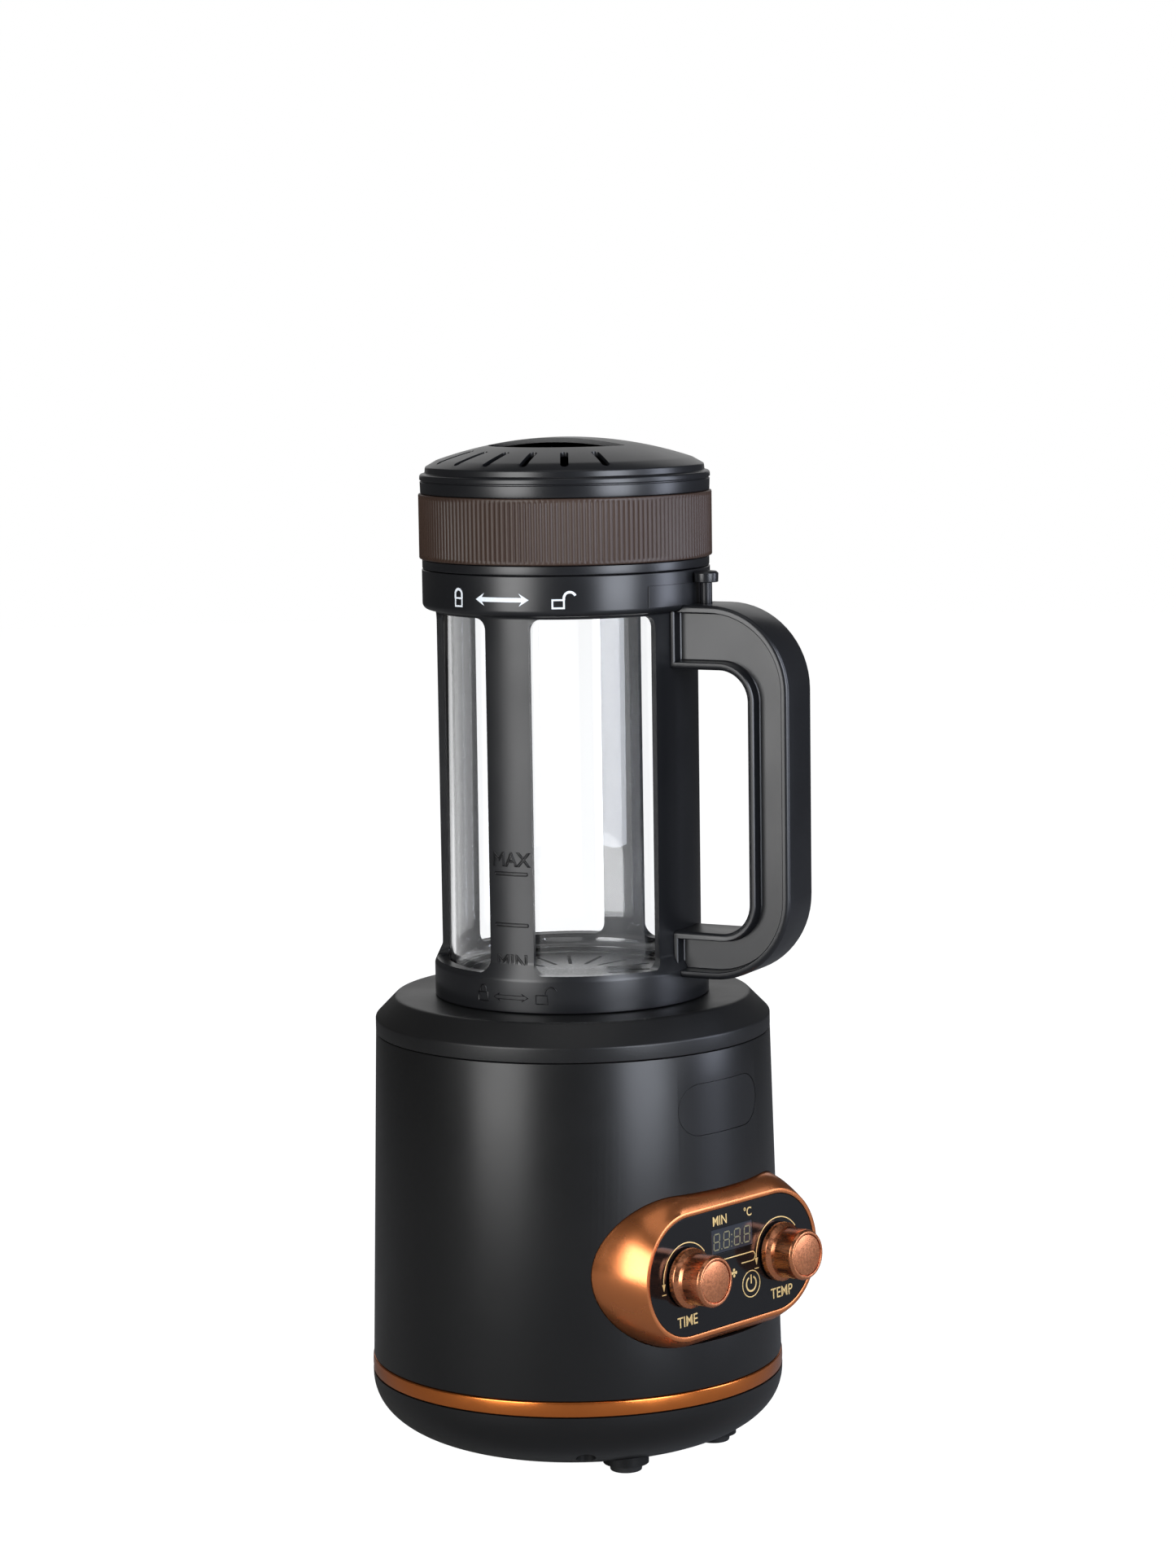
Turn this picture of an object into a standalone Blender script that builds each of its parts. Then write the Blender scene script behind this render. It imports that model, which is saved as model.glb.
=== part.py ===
"""Home hot-air coffee roaster: a round base with a control panel, a caged glass jar and a chaff lid.

Frame: origin on the upright axis at table level, +Z up, the control panel faces -Y.
Angles round the axis are counted from the front (-Y) towards +X.
Run with: blender --background --python part.py
"""

import math

import bmesh
import bpy
from mathutils import Matrix, Vector

mm = 0.001

# fits
touch_gap = 0.3 * mm
slip_gap = 0.5 * mm
weld = 1.0 * mm
overrun = 2.0 * mm

# mesh fineness
ring_steps = 28
small_steps = 14
knob_steps = 18
screw_steps = 8
corner_steps = 2

# body shell
shell_foot_radius = 82.2 * mm
shell_taper = 3.45 * mm
shell_height = 131.0 * mm
shell_wall = 2.5 * mm

# pan and feet
pan_bottom = 2.1 * mm
pan_flat_radius = 34.7 * mm
pan_curve_power = 2.3
pan_wall = 2.5 * mm
pan_curve_points = 5
pan_inner_points = 3
foot_inset = 26.6 * mm
foot_angle = 28.0
foot_radius = 6.5 * mm
foot_socket_top = 8.5 * mm
foot_edge = 0.8 * mm
intake_slots = 12
intake_inner = 14.0 * mm
intake_outer = 30.0 * mm
intake_width = 3.2 * mm

# copper band between pan and shell
band_bottom = 29.4 * mm
band_height = 6.0 * mm
band_proud = 0.4 * mm
band_thickness = 2.6 * mm
spigot_height = 5.5 * mm

# pan screws
screw_angle = 45.0
screw_shank = 1.7 * mm
screw_head = 3.6 * mm
screw_head_height = 2.6 * mm
boss_radius = 4.8 * mm
boss_length = 20.0 * mm
screw_bite = 14.0 * mm
pilot_spare = 3.0 * mm

# deck cover with the jar's seat
deck_flank_height = 5.7 * mm
deck_chamfer_width = 8.35 * mm
deck_chamfer_height = 8.5 * mm
deck_wall = 2.5 * mm
deck_lip_depth = 6.0 * mm
deck_edge = 1.6 * mm
deck_brow = 2.5 * mm
collar_height = 6.0 * mm
seat_depth = 11.0 * mm
seat_floor = 2.5 * mm
seat_wall = 2.3 * mm

# jar: cage, glass and floor
cage_radius = 51.8 * mm
cage_height = 169.4 * mm
cage_wall = 2.6 * mm
spigot_inset = 4.8 * mm
jar_spigot_wall = 4.0 * mm
jar_spigot_drop = 14.2 * mm
cage_foot_flare = 2.8 * mm
cage_foot_height = 12.8 * mm
cage_shoulder_height = 6.2 * mm
cage_head_flare = 5.0 * mm
cage_head_height = 15.7 * mm
cage_head_wall = 2.2 * mm
cage_head_brow = 2.4 * mm
cage_lip_height = 4.5 * mm
cage_floor_low = 3.3 * mm
cage_floor_thick = 3.0 * mm
cage_floor_ledge = 6.0 * mm
cage_soft_edge = 3.0 * mm
window_sill = 14.4 * mm
window_head_gap = 1.2 * mm
window_corner = 4.5 * mm
post_angle = -74.0
post_width = 21.0
rear_post_turn = 5.6
rear_post_width = 32.2
handle_angle = 16.0
strap_width = 43.5
glass_wall = 2.2 * mm
glass_low_curve = 5.0 * mm
glass_floor_lip = 3.0 * mm
glass_rim = 0.8 * mm
gasket_height = 1.4 * mm
distributor_thickness = 1.2 * mm
distributor_slots = 16
distributor_slot_width = 1.6 * mm
distributor_slot_start = 15.1 * mm
distributor_rim = 8.7 * mm

# bayonet lugs
lug_reach = 3.8 * mm
lug_height = 4.2 * mm
lug_width = 16.0
lug_entry_spare = 3.0
lug_count = 4
lug_first_angle = 61.0
lug_lift = 3.0 * mm
lug_flats = 4
jar_seal_height = 2.2 * mm
lid_lug_reach = 2.0 * mm
lid_lug_height = 2.2 * mm
lid_lug_count = 3
lid_lug_width = 18.0
lid_entry_spare = 4.0
lid_lug_first_angle = 46.0
lid_entry_web = 0.1 * mm

# jar handle
handle_width = 23.1 * mm
handle_standout = 48.2 * mm
handle_rise = 2.4 * mm
handle_lift = 10.1 * mm
upper_arm_height = 25.0 * mm
lower_arm_height = 18.3 * mm
grip_thickness = 17.3 * mm
handle_corner = 33.0 * mm
hand_corner = 12.0 * mm
handle_rim = 1.9 * mm
handle_recess = 5.0 * mm
handle_draft = 0.7 * mm
handle_edge = 1.2 * mm
handle_screw_head = 3.4 * mm
handle_screw_sink = 1.6 * mm
handle_screw_reach = 8.5 * mm
upper_screw_place = 0.75
lower_screw_place = 0.55

# lid lock button
button_offset = 4.0 * mm
button_sink = 0.7 * mm
button_cap_radius = 4.9 * mm
button_cap_height = 4.3 * mm
button_stem_radius = 2.4 * mm
button_stem_length = 14.0 * mm
button_bore_radius = 2.9 * mm
button_bore_depth = 13.0 * mm
button_edge = 0.6 * mm
spring_wire = 0.35 * mm
spring_turns = 4
spring_steps = 10

# lid and chaff collector
lid_collar_inset = 0.2 * mm
lid_collar_height = 3.5 * mm
lid_skirt_gap = 0.4 * mm
lid_skirt_depth = 7.8 * mm
lid_skirt_wall = 2.6 * mm
core_step = 0.8 * mm
core_wall = 2.2 * mm
grip_wall = 4.45 * mm
grip_height = 25.4 * mm
dome_ring_inset = 0.55 * mm
dome_ring_height = 4.5 * mm
dome_flange_height = 2.8 * mm
dome_socket = 4.1 * mm
dome_step_inset = 1.9 * mm
dome_edge_inset = 2.8 * mm
dome_side_height = 6.0 * mm
dome_shoulder = 1.2 * mm
dome_rise = 10.5 * mm
dome_sagitta = 9.82 * mm
dome_wall = 1.8 * mm
dome_ledge = 1.2 * mm
dome_points = 4
outlet_radius = 30.0 * mm
outlet_chord = 5.5 * mm
outlet_angle = -74.0
outlet_steps = 16
vent_count = 6
vent_pitch = 18.0
vent_gap = 7.0 * mm
vent_edge = 2.4 * mm
vent_width = 3.1 * mm
lid_seal_height = 1.6 * mm
lid_seal_lap = 2.5 * mm
cup_wall = 1.5 * mm
cup_height = 24.0 * mm
cup_lift = 3.0 * mm
chimney_radius = 20.0 * mm
chimney_height = 30.0 * mm
screen_thickness = 0.8 * mm
screen_hole_rings = ((20.0 * mm, 6), (36.0 * mm, 11))
screen_hole = 5.5 * mm
screen_hole_steps = 6

# control panel
panel_stand = 1.3 * mm
panel_height = 82.5 * mm
panel_tilt = 2.3
face_half_straight = 25.7 * mm
face_radius = 23.0 * mm
bezel_rim = 2.1 * mm
bezel_flare = 4.3 * mm
bezel_rise = 0.8 * mm
bezel_wall = 2.2 * mm
bezel_skirt = 4.0 * mm
bezel_depth = 4.0 * mm
bezel_lap = 0.2 * mm
face_sink = 0.2 * mm
face_thickness = 2.0 * mm
display_low = 5.5 * mm
display_high = 15.5 * mm
display_half_width = 12.3 * mm
display_depth = 7.0 * mm
knob_spacing = 54.6 * mm
knob_flange_radius = 11.7 * mm
knob_flange_height = 3.2 * mm
knob_slope = 1.0 * mm
knob_radius = 10.0 * mm
knob_length = 14.2 * mm
knob_rim_edge = 0.9 * mm
knob_cap_radius = 8.0 * mm
knob_cap_depth = 1.2 * mm
shaft_radius = 3.0 * mm
shaft_inside_knob = 11.0 * mm
encoder_size = 12.5 * mm
encoder_depth = 6.0 * mm
encoder_floor = 2.0 * mm
board_depth = 14.0 * mm
board_thickness = 1.6 * mm
board_half_length = 40.0 * mm
board_half_height = 17.0 * mm
touch_place = (10.2 * mm, -9.8 * mm)
touch_radius = 5.5 * mm
touch_thickness = 1.0 * mm

# badge plate on the shell
badge_half_angle = 16.7
badge_drop = 11.8 * mm
badge_height = 20.0 * mm
badge_sink = 1.0 * mm
badge_steps = 4

# fan, motor and heater
heater_tube_radius = 40.0 * mm
heater_tube_wall = 0.8 * mm
motor_radius = 18.0 * mm
motor_low = 14.0 * mm
motor_length = 36.0 * mm
bracket_thickness = 3.0 * mm
bracket_radius = 50.0 * mm
bracket_bore = 4.6 * mm
bracket_hole = 4.5 * mm
bracket_hole_circle = 15.0 * mm
bracket_holes = 6
leg_inset = 4.0 * mm
leg_first_angle = 5.0
leg_radius = 3.0 * mm
leg_foot = 14.0 * mm
housing_step = 6.0 * mm
housing_wall = 2.0 * mm
housing_height = 30.0 * mm
housing_mouth_lip = 2.0 * mm
inlet_radius = 22.0 * mm
impeller_gap = 6.0 * mm
impeller_lift = 2.0 * mm
impeller_height = 16.0 * mm
impeller_plate = 2.0 * mm
impeller_hub = 6.0 * mm
impeller_blades = 9
blade_start = 12.0 * mm
blade_lean = 10.0 * mm
blade_half_thickness = 0.8 * mm
motor_shaft_radius = 1.6 * mm
motor_shaft_end = 2.0 * mm
coil_gap = 8.5 * mm
coil_wire = 0.9 * mm
coil_turns = 5
coil_steps = 12
coil_end_gap = 5.0 * mm
mica_gap = 1.6 * mm
mica_thickness = 1.2 * mm
mica_height = 54.0 * mm
mica_lift = 8.0 * mm
cutout_radius = 4.5 * mm
cutout_height = 9.0 * mm
cutout_lift = 20.0 * mm
power_board_gap = 10.0 * mm
power_board_size = (60.0 * mm, 1.6 * mm, 46.0 * mm)

# cord gland at the back
gland_height = 52.0 * mm
gland_radius = 5.6 * mm
gland_bore = 3.5 * mm
gland_flange_radius = 8.5 * mm
gland_flange_height = 2.0 * mm
gland_inside = 3.0 * mm
gland_edge = 0.6 * mm

# worked out from the sizes above, from the table upwards
band_radius = shell_foot_radius + band_proud
shell_top_radius = shell_foot_radius - shell_taper
band_top = band_bottom + band_height
shell_bottom = band_top + touch_gap
shell_top = shell_bottom + shell_height
foot_circle_radius = band_radius - foot_inset
spigot_outer = shell_foot_radius - shell_wall - 2 * touch_gap
spigot_inner = spigot_outer - pan_wall
spigot_top = band_top + spigot_height
screw_circle_radius = spigot_inner - boss_radius + weld / 2
screw_seat = band_bottom - boss_radius
deck_bottom = shell_top + touch_gap
deck_corner = deck_bottom + deck_flank_height
deck_top = deck_corner + deck_chamfer_height
deck_flat_radius = shell_top_radius - deck_chamfer_width
spigot_radius = cage_radius - spigot_inset
collar_radius = spigot_radius + slip_gap
collar_low = deck_top - collar_height
seat_radius = spigot_radius + lug_reach + slip_gap
seat_low = collar_low - seat_depth
air_hole_radius = heater_tube_radius + slip_gap
cage_bottom = deck_top + touch_gap
cage_top = cage_bottom + cage_height
cage_bore = cage_radius - cage_wall
cage_foot_radius = cage_radius + cage_foot_flare
cage_head_radius = cage_radius + cage_head_flare
cage_head_bottom = cage_top - cage_head_height
cage_floor = cage_bottom + cage_floor_low
cage_floor_top = cage_floor + cage_floor_thick
cage_spigot_bore = spigot_radius - jar_spigot_wall
window_low = cage_bottom + window_sill
window_high = cage_head_bottom - window_head_gap
glass_radius = cage_bore - slip_gap
glass_bottom = cage_floor_top + gasket_height + 2 * touch_gap
groove_radius = cage_head_radius - cage_head_wall
lip_radius = groove_radius - lid_lug_reach
handle_top = cage_head_bottom + handle_rise
handle_bottom = cage_bottom + handle_lift
handle_reach = cage_radius + handle_standout
button_circle_radius = cage_head_radius + button_offset
button_top = cage_top - button_sink
button_bore_bottom = handle_top - button_bore_depth
lid_skirt_radius = lip_radius - lid_skirt_gap
lid_bore = lid_skirt_radius - lid_skirt_wall
lid_collar_radius = cage_head_radius - lid_collar_inset
lid_bottom = cage_top + touch_gap
skirt_bottom = lid_bottom - lid_skirt_depth
shelf_height = skirt_bottom - lid_seal_height - 2 * touch_gap
collar_top = lid_bottom + lid_collar_height
core_radius = lid_skirt_radius + core_step
core_bore = core_radius - core_wall
grip_low = collar_top + touch_gap
grip_high = grip_low + grip_height
grip_radius = core_radius + touch_gap + grip_wall
dome_low = grip_high + touch_gap
core_top = dome_low + dome_socket
dome_ring_top = dome_low + dome_ring_height
dome_ring_radius = grip_radius - dome_ring_inset
dome_edge_radius = dome_ring_radius - dome_edge_inset
dome_edge_height = dome_ring_top + dome_side_height
dome_top = dome_edge_height + dome_rise
dome_crown_radius = (dome_edge_radius ** 2 + dome_sagitta ** 2) / (2 * dome_sagitta)
dome_bore = core_radius + touch_gap - dome_ledge
vent_inner = outlet_radius + vent_gap
vent_outer = dome_edge_radius - vent_edge
badge_middle = shell_top - badge_drop - badge_height / 2
panel_distance = shell_foot_radius + panel_stand
bezel_middle = panel_height + bezel_rise
bezel_outer_radius = face_radius + bezel_rim + bezel_flare
bracket_low = motor_low + motor_length + touch_gap
bracket_top = bracket_low + bracket_thickness
leg_circle_radius = bracket_radius - leg_inset
housing_low = bracket_top + touch_gap
housing_top = housing_low + housing_height
housing_radius = heater_tube_radius + housing_step
impeller_low = housing_low + housing_wall + impeller_lift
impeller_top = impeller_low + impeller_height
impeller_radius = housing_radius - housing_wall - impeller_gap
heater_low = housing_top + touch_gap
heater_top = seat_low - seat_floor - touch_gap
coil_radius = heater_tube_radius - coil_gap
mica_half_width = coil_radius - coil_wire - mica_gap
mica_low = heater_low + mica_lift
power_board_distance = housing_radius + power_board_gap

finishes = {
    "charcoal": ((0.022, 0.022, 0.024), 0.55, 0.0),
    "satin_black": ((0.018, 0.019, 0.022), 0.38, 0.0),
    "copper_paint": ((0.62, 0.2, 0.07), 0.3, 0.8),
    "brown": ((0.085, 0.055, 0.042), 0.55, 0.0),
    "glass": ((0.9, 0.93, 0.95), 0.02, 0.0),
    "panel_black": ((0.006, 0.006, 0.008), 0.12, 0.0),
    "display": ((0.03, 0.035, 0.045), 0.2, 0.0),
    "rubber": ((0.02, 0.02, 0.02), 0.8, 0.0),
    "silicone": ((0.35, 0.34, 0.33), 0.6, 0.0),
    "steel": ((0.55, 0.55, 0.56), 0.3, 1.0),
    "mica": ((0.6, 0.5, 0.36), 0.7, 0.0),
    "circuit": ((0.03, 0.14, 0.06), 0.5, 0.0),
    "nylon": ((0.7, 0.68, 0.62), 0.5, 0.0),
}


def finish(name):
    """The Principled material of one named finish."""
    made = bpy.data.materials.get(name)
    if made:
        return made
    colour, roughness, metallic = finishes[name]
    made = bpy.data.materials.new(name)
    made.use_nodes = True
    shader = made.node_tree.nodes["Principled BSDF"]
    shader.inputs["Base Color"].default_value = (*colour, 1.0)
    shader.inputs["Roughness"].default_value = roughness
    shader.inputs["Metallic"].default_value = metallic
    return made


def direction(angle):
    """Unit vector at an angle in degrees from the front, towards +X."""
    turn = math.radians(angle)
    return Vector((math.sin(turn), -math.cos(turn), 0.0))


def new_object(name, bm, finish_name, parent=None, matrix=None):
    """Put a bmesh in the scene as one named, smooth-shaded object."""
    bmesh.ops.remove_doubles(bm, verts=bm.verts, dist=1e-7)
    bmesh.ops.recalc_face_normals(bm, faces=bm.faces)
    # Triangles are always flat, so each Boolean gives the same solid every time.
    bmesh.ops.triangulate(bm, faces=bm.faces)
    mesh = bpy.data.meshes.new(name)
    bm.to_mesh(mesh)
    bm.free()
    mesh.shade_smooth()
    mesh.set_sharp_from_angle(angle=math.radians(30))
    made = bpy.data.objects.new(name, mesh)
    mesh.materials.append(finish(finish_name))
    bpy.context.scene.collection.objects.link(made)
    made.parent = parent
    if matrix is not None:
        made.matrix_basis = matrix
    return made


def boolean(target, bm, operation, name, matrix):
    """Cut a hidden helper mesh out of an object, or add it; the helper sits where the object does."""
    helper = new_object(name, bm, "nylon", target.parent, target.matrix_basis if matrix is None else matrix)
    helper.hide_render = True
    helper.display_type = "WIRE"
    step = target.modifiers.new(name, "BOOLEAN")
    step.operation = operation
    step.solver = "EXACT"
    step.object = helper


def cut(target, bm, name, matrix=None):
    boolean(target, bm, "DIFFERENCE", name, matrix)


def add(target, bm, name, matrix=None):
    boolean(target, bm, "UNION", name, matrix)


def turned(outline, steps=ring_steps):
    """A closed (radius, height) outline spun round the Z axis."""
    bm = bmesh.new()
    verts = [bm.verts.new((radius, 0.0, height)) for radius, height in outline]
    edges = [bm.edges.new((a, b)) for a, b in zip(verts, verts[1:] + verts[:1])]
    bmesh.ops.spin(bm, geom=verts + edges, cent=(0, 0, 0), axis=(0, 0, 1), dvec=(0, 0, 0),
                   angle=math.tau, steps=steps, use_merge=True)
    bmesh.ops.remove_doubles(bm, verts=bm.verts, dist=1e-7)
    on_axis = [edge for edge in bm.edges if not edge.link_faces]
    bmesh.ops.delete(bm, geom=on_axis, context="EDGES")
    return bm


def disc(radius, low, high, steps=small_steps):
    return turned([(0, low), (radius, low), (radius, high), (0, high)], steps)


def tube(inner, outer, low, high, steps=ring_steps):
    return turned([(inner, low), (outer, low), (outer, high), (inner, high)], steps)


def coil(name, wire, radius, low, high, turns, steps):
    """A round wire wound round Z as a curve with a round bevel."""
    path = bpy.data.curves.new(name, "CURVE")
    path.dimensions = "3D"
    path.bevel_depth = wire
    path.bevel_resolution = 0
    path.use_fill_caps = True
    path.materials.append(finish("steel"))
    last = turns * steps
    line = path.splines.new("POLY")
    line.points.add(last)
    for index, point in enumerate(line.points):
        turn = math.tau * index / steps
        height = low + (high - low) * index / last
        point.co = (radius * math.cos(turn), radius * math.sin(turn), height, 1.0)
    made = bpy.data.objects.new(name, path)
    bpy.context.scene.collection.objects.link(made)
    return made


def box(low, high):
    """A box between two corners."""
    bm = bmesh.new()
    size = Vector(high) - Vector(low)
    middle = (Vector(high) + Vector(low)) / 2
    bmesh.ops.create_cube(bm, size=1.0, matrix=Matrix.Translation(middle) @ Matrix.Diagonal((*size, 1.0)))
    return bm


def prism(outline, low, high, place=None):
    """A flat outline pushed up from one height to another, then placed."""
    bm = bmesh.new()
    face = bm.faces.new([bm.verts.new((x, y, low)) for x, y in outline])
    pushed = bmesh.ops.extrude_face_region(bm, geom=[face])["geom"]
    moved = [item for item in pushed if isinstance(item, bmesh.types.BMVert)]
    bmesh.ops.translate(bm, verts=moved, vec=(0, 0, high - low))
    if place is not None:
        bmesh.ops.transform(bm, matrix=place, verts=bm.verts)
    return bm


def merged(pieces):
    """Several separate bmeshes as one, for one cutter or one set of added bosses."""
    whole = bmesh.new()
    for piece in pieces:
        mesh = bpy.data.meshes.new("scratch")
        piece.to_mesh(mesh)
        piece.free()
        whole.from_mesh(mesh)
        bpy.data.meshes.remove(mesh)
    return whole


def placed(bm, matrix):
    bmesh.ops.transform(bm, matrix=matrix, verts=bm.verts)
    return bm


def round_axis(angle):
    """Rotation that takes +X to the direction at this angle from the front."""
    return Matrix.Rotation(math.radians(angle - 90.0), 4, "Z")


def rounded(corners, steps=corner_steps):
    """Turn (x, y, radius) corners into points, with an arc at each corner that has a radius."""
    points = []
    for index, (x, y, radius) in enumerate(corners):
        here = Vector((x, y))
        if radius <= 0:
            points.append((x, y))
            continue
        before = Vector(corners[index - 1][:2]) - here
        after = Vector(corners[(index + 1) % len(corners)][:2]) - here
        half = before.angle(after) / 2
        reach = radius / math.tan(half)
        start = here + before.normalized() * reach
        end = here + after.normalized() * reach
        centre = here + (before.normalized() + after.normalized()).normalized() * radius / math.sin(half)
        first = start - centre
        turn = first.angle_signed(end - centre)
        for step in range(steps + 1):
            point = centre + Matrix.Rotation(-turn * step / steps, 2) @ first
            points.append((point.x, point.y))
    return points


def stadium(half_straight, radius, steps=12):
    """Outline of a bar with round ends, always with the same number of points."""
    points = []
    for side in (1, -1):
        for step in range(steps + 1):
            turn = math.pi * (step / steps - 0.5)
            x = side * (half_straight + radius * math.cos(turn))
            points.append((x, side * radius * math.sin(turn)))
    return points


def arc_columns(width, low, high):
    """Columns of a plain bent rectangle, for a lug or the slot that lets it in."""
    return [(width * (step / lug_flats - 0.5), low, high) for step in range(lug_flats + 1)]


def wrapped(columns, inner, outer, angle):
    """A plate bent round the axis: columns of (angle from its middle, low, high); radii follow height."""
    bm = bmesh.new()
    rows = []
    for offset, low, high in columns:
        ray = direction(angle + offset)
        corners = [(inner(low), low), (outer(low), low), (outer(high), high), (inner(high), high)]
        rows.append([bm.verts.new(ray * radius + Vector((0, 0, height))) for radius, height in corners])
    for here, there in zip(rows, rows[1:]):
        for index in range(4):
            following = (index + 1) % 4
            bm.faces.new((here[index], there[index], there[following], here[following]))
    bm.faces.new(rows[0])
    bm.faces.new(rows[-1][::-1])
    return bm


def bent_block(columns, inner, outer, angle=90.0):
    """A bent plate between two upright round walls; at +X unless an angle is given."""
    return wrapped(columns, lambda height: inner, lambda height: outer, angle)


def round_cornered_columns(half_angle, low, high, corner, radius, flats=4, steps=2):
    """Columns of a bent rectangle with round corners, half_angle wide each way."""
    corner_angle = math.degrees(corner / radius)
    columns = []
    for step in range(1 if corner * 2 >= high - low else 0, steps + 1):
        turn = math.pi / 2 * step / steps
        inset = corner * (1 - math.sin(turn))
        columns.append((-half_angle + corner_angle * (1 - math.cos(turn)), low + inset, high - inset))
    inner_angle = half_angle - corner_angle
    middle = [(-inner_angle + 2 * inner_angle * step / flats, low, high) for step in range(1, flats)]
    return columns + middle + [(-offset, base, top) for offset, base, top in columns[::-1]]


def round_ring(bm_of, count, first_angle, pitch=None):
    """Copies of a small bmesh made at +X, set round the axis."""
    spacing = 360.0 / count if pitch is None else pitch
    return merged([placed(bm_of(), round_axis(first_angle + spacing * index)) for index in range(count)])


# ---------------------------------------------------------------- base

def pan_height(radius, inset=0.0):
    """Height of the pan's rounded underside at a radius; inset follows the inner face."""
    across = (band_radius - inset) - pan_flat_radius
    drop = (band_bottom - touch_gap) - (pan_bottom + inset)
    share = min(max(radius - pan_flat_radius, 0.0) / across, 1.0)
    return band_bottom - touch_gap - drop * (1 - share ** pan_curve_power) ** (1 / pan_curve_power)


def pan_curve(inset, count):
    """Points along the pan's rounded side, from the flat middle out to the rim."""
    across = (band_radius - inset) - pan_flat_radius
    points = []
    for step in range(count + 1):
        radius = pan_flat_radius + across * math.sin(math.pi / 2 * step / count)
        points.append((radius, pan_height(radius, inset)))
    return points


def shell_radius(height):
    """Outer radius of the tapered shell at a height."""
    share = (height - shell_bottom) / (shell_top - shell_bottom)
    return shell_foot_radius + (shell_top_radius - shell_foot_radius) * share


def foot_angles():
    return [foot_angle, -foot_angle, 180 - foot_angle, 180 + foot_angle]


def screw_angles():
    return [screw_angle + 90 * index for index in range(4)]


def leg_angles():
    """The motor bracket's legs stand a little off the square, clear of the pan's seams."""
    return [leg_first_angle + 90 * index for index in range(4)]


def upright_at(bm, radius, angle):
    """Move an upright piece made on the axis out to a radius, at an angle from the front."""
    return placed(bm, Matrix.Translation(direction(angle) * radius))


def make_pan():
    inner = [point for point in pan_curve(pan_wall, pan_inner_points) if point[0] < spigot_inner]
    outline = [(0, pan_bottom)] + pan_curve(0.0, pan_curve_points)
    outline += [(spigot_outer, band_bottom - touch_gap), (spigot_outer, spigot_top)]
    outline += [(spigot_inner, spigot_top)]
    outline += [(spigot_inner, pan_height(spigot_inner, pan_wall))] + inner[::-1]
    outline += [(0, pan_bottom + pan_wall)]
    pan = new_object("base_pan", turned(outline), "charcoal")
    add(pan, merged(pan_bosses()), "pan_bosses")
    cut(pan, merged(pan_holes()), "pan_holes")

    def slot():
        half = intake_width / 2
        return box((intake_inner, -half, -pan_bottom), (intake_outer, half, pan_bottom + 2 * pan_wall))

    cut(pan, round_ring(slot, intake_slots, 0.0), "intake_slots")


def pan_bosses():
    """Round bosses over the foot sockets, under the motor's legs and round the screws."""
    in_floor = pan_bottom + pan_wall / 2
    foot_boss = foot_radius + pan_wall
    boss_low = pan_height(screw_circle_radius - boss_radius) + pan_wall / 2
    bosses = []
    for angle in foot_angles():
        boss = disc(foot_boss, pan_bottom + pan_wall, foot_socket_top + pan_wall)
        bosses.append(upright_at(boss, foot_circle_radius, angle))
    for angle in leg_angles():
        boss = disc(leg_radius, in_floor, leg_foot, screw_steps)
        bosses.append(upright_at(boss, leg_circle_radius, angle))
    for angle in screw_angles():
        boss = disc(boss_radius, boss_low, spigot_top, screw_steps)
        bosses.append(upright_at(boss, screw_circle_radius, angle))
    return bosses


def pan_holes():
    """Foot sockets from below, and stepped holes for the screws."""
    socket = foot_radius + touch_gap
    head = screw_head + touch_gap
    shank = screw_shank + touch_gap
    over = spigot_top + overrun
    stepped = [(0, -pan_bottom), (head, -pan_bottom), (head, screw_seat), (shank, screw_seat)]
    stepped += [(shank, over), (0, over)]
    holes = []
    for angle in foot_angles():
        hole = disc(socket, -pan_bottom, foot_socket_top)
        holes.append(upright_at(hole, foot_circle_radius, angle))
    for angle in screw_angles():
        hole = turned(stepped, screw_steps)
        holes.append(upright_at(hole, screw_circle_radius, angle))
    return holes


def make_feet():
    top = foot_socket_top - touch_gap
    outline = rounded([(0, 0, 0), (foot_radius, 0, foot_edge), (foot_radius, top, 0), (0, top, 0)])
    for index, angle in enumerate(foot_angles(), 1):
        new_object(f"foot_{index}", turned(outline, small_steps), "rubber",
                   matrix=Matrix.Translation(direction(angle) * foot_circle_radius))


def make_pan_screws():
    bearing = screw_seat - touch_gap
    low = bearing - screw_head_height
    top = spigot_top + touch_gap + screw_bite
    outline = [(0, low), (screw_head, low), (screw_head, bearing), (screw_shank, bearing)]
    outline += [(screw_shank, top), (0, top)]
    for index, angle in enumerate(screw_angles(), 1):
        new_object(f"pan_screw_{index}", turned(outline, screw_steps), "steel",
                   matrix=Matrix.Translation(direction(angle) * screw_circle_radius))


def make_band():
    band = tube(band_radius - band_thickness, band_radius, band_bottom, band_top)
    new_object("trim_band", band, "copper_paint")


def shell_boss():
    """One screw boss of the shell, at +X: a round post that a web ties to the wall."""
    low = spigot_top + touch_gap
    high = low + boss_length
    wall_side = shell_radius(high) - shell_wall / 2
    points = []
    for step in range(screw_steps + 1):
        turn = math.pi * (0.5 + step / screw_steps)
        points.append((screw_circle_radius + boss_radius * math.cos(turn), boss_radius * math.sin(turn)))
    points += [(wall_side, -boss_radius), (wall_side, boss_radius)]
    return prism(points, low, high)


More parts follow.
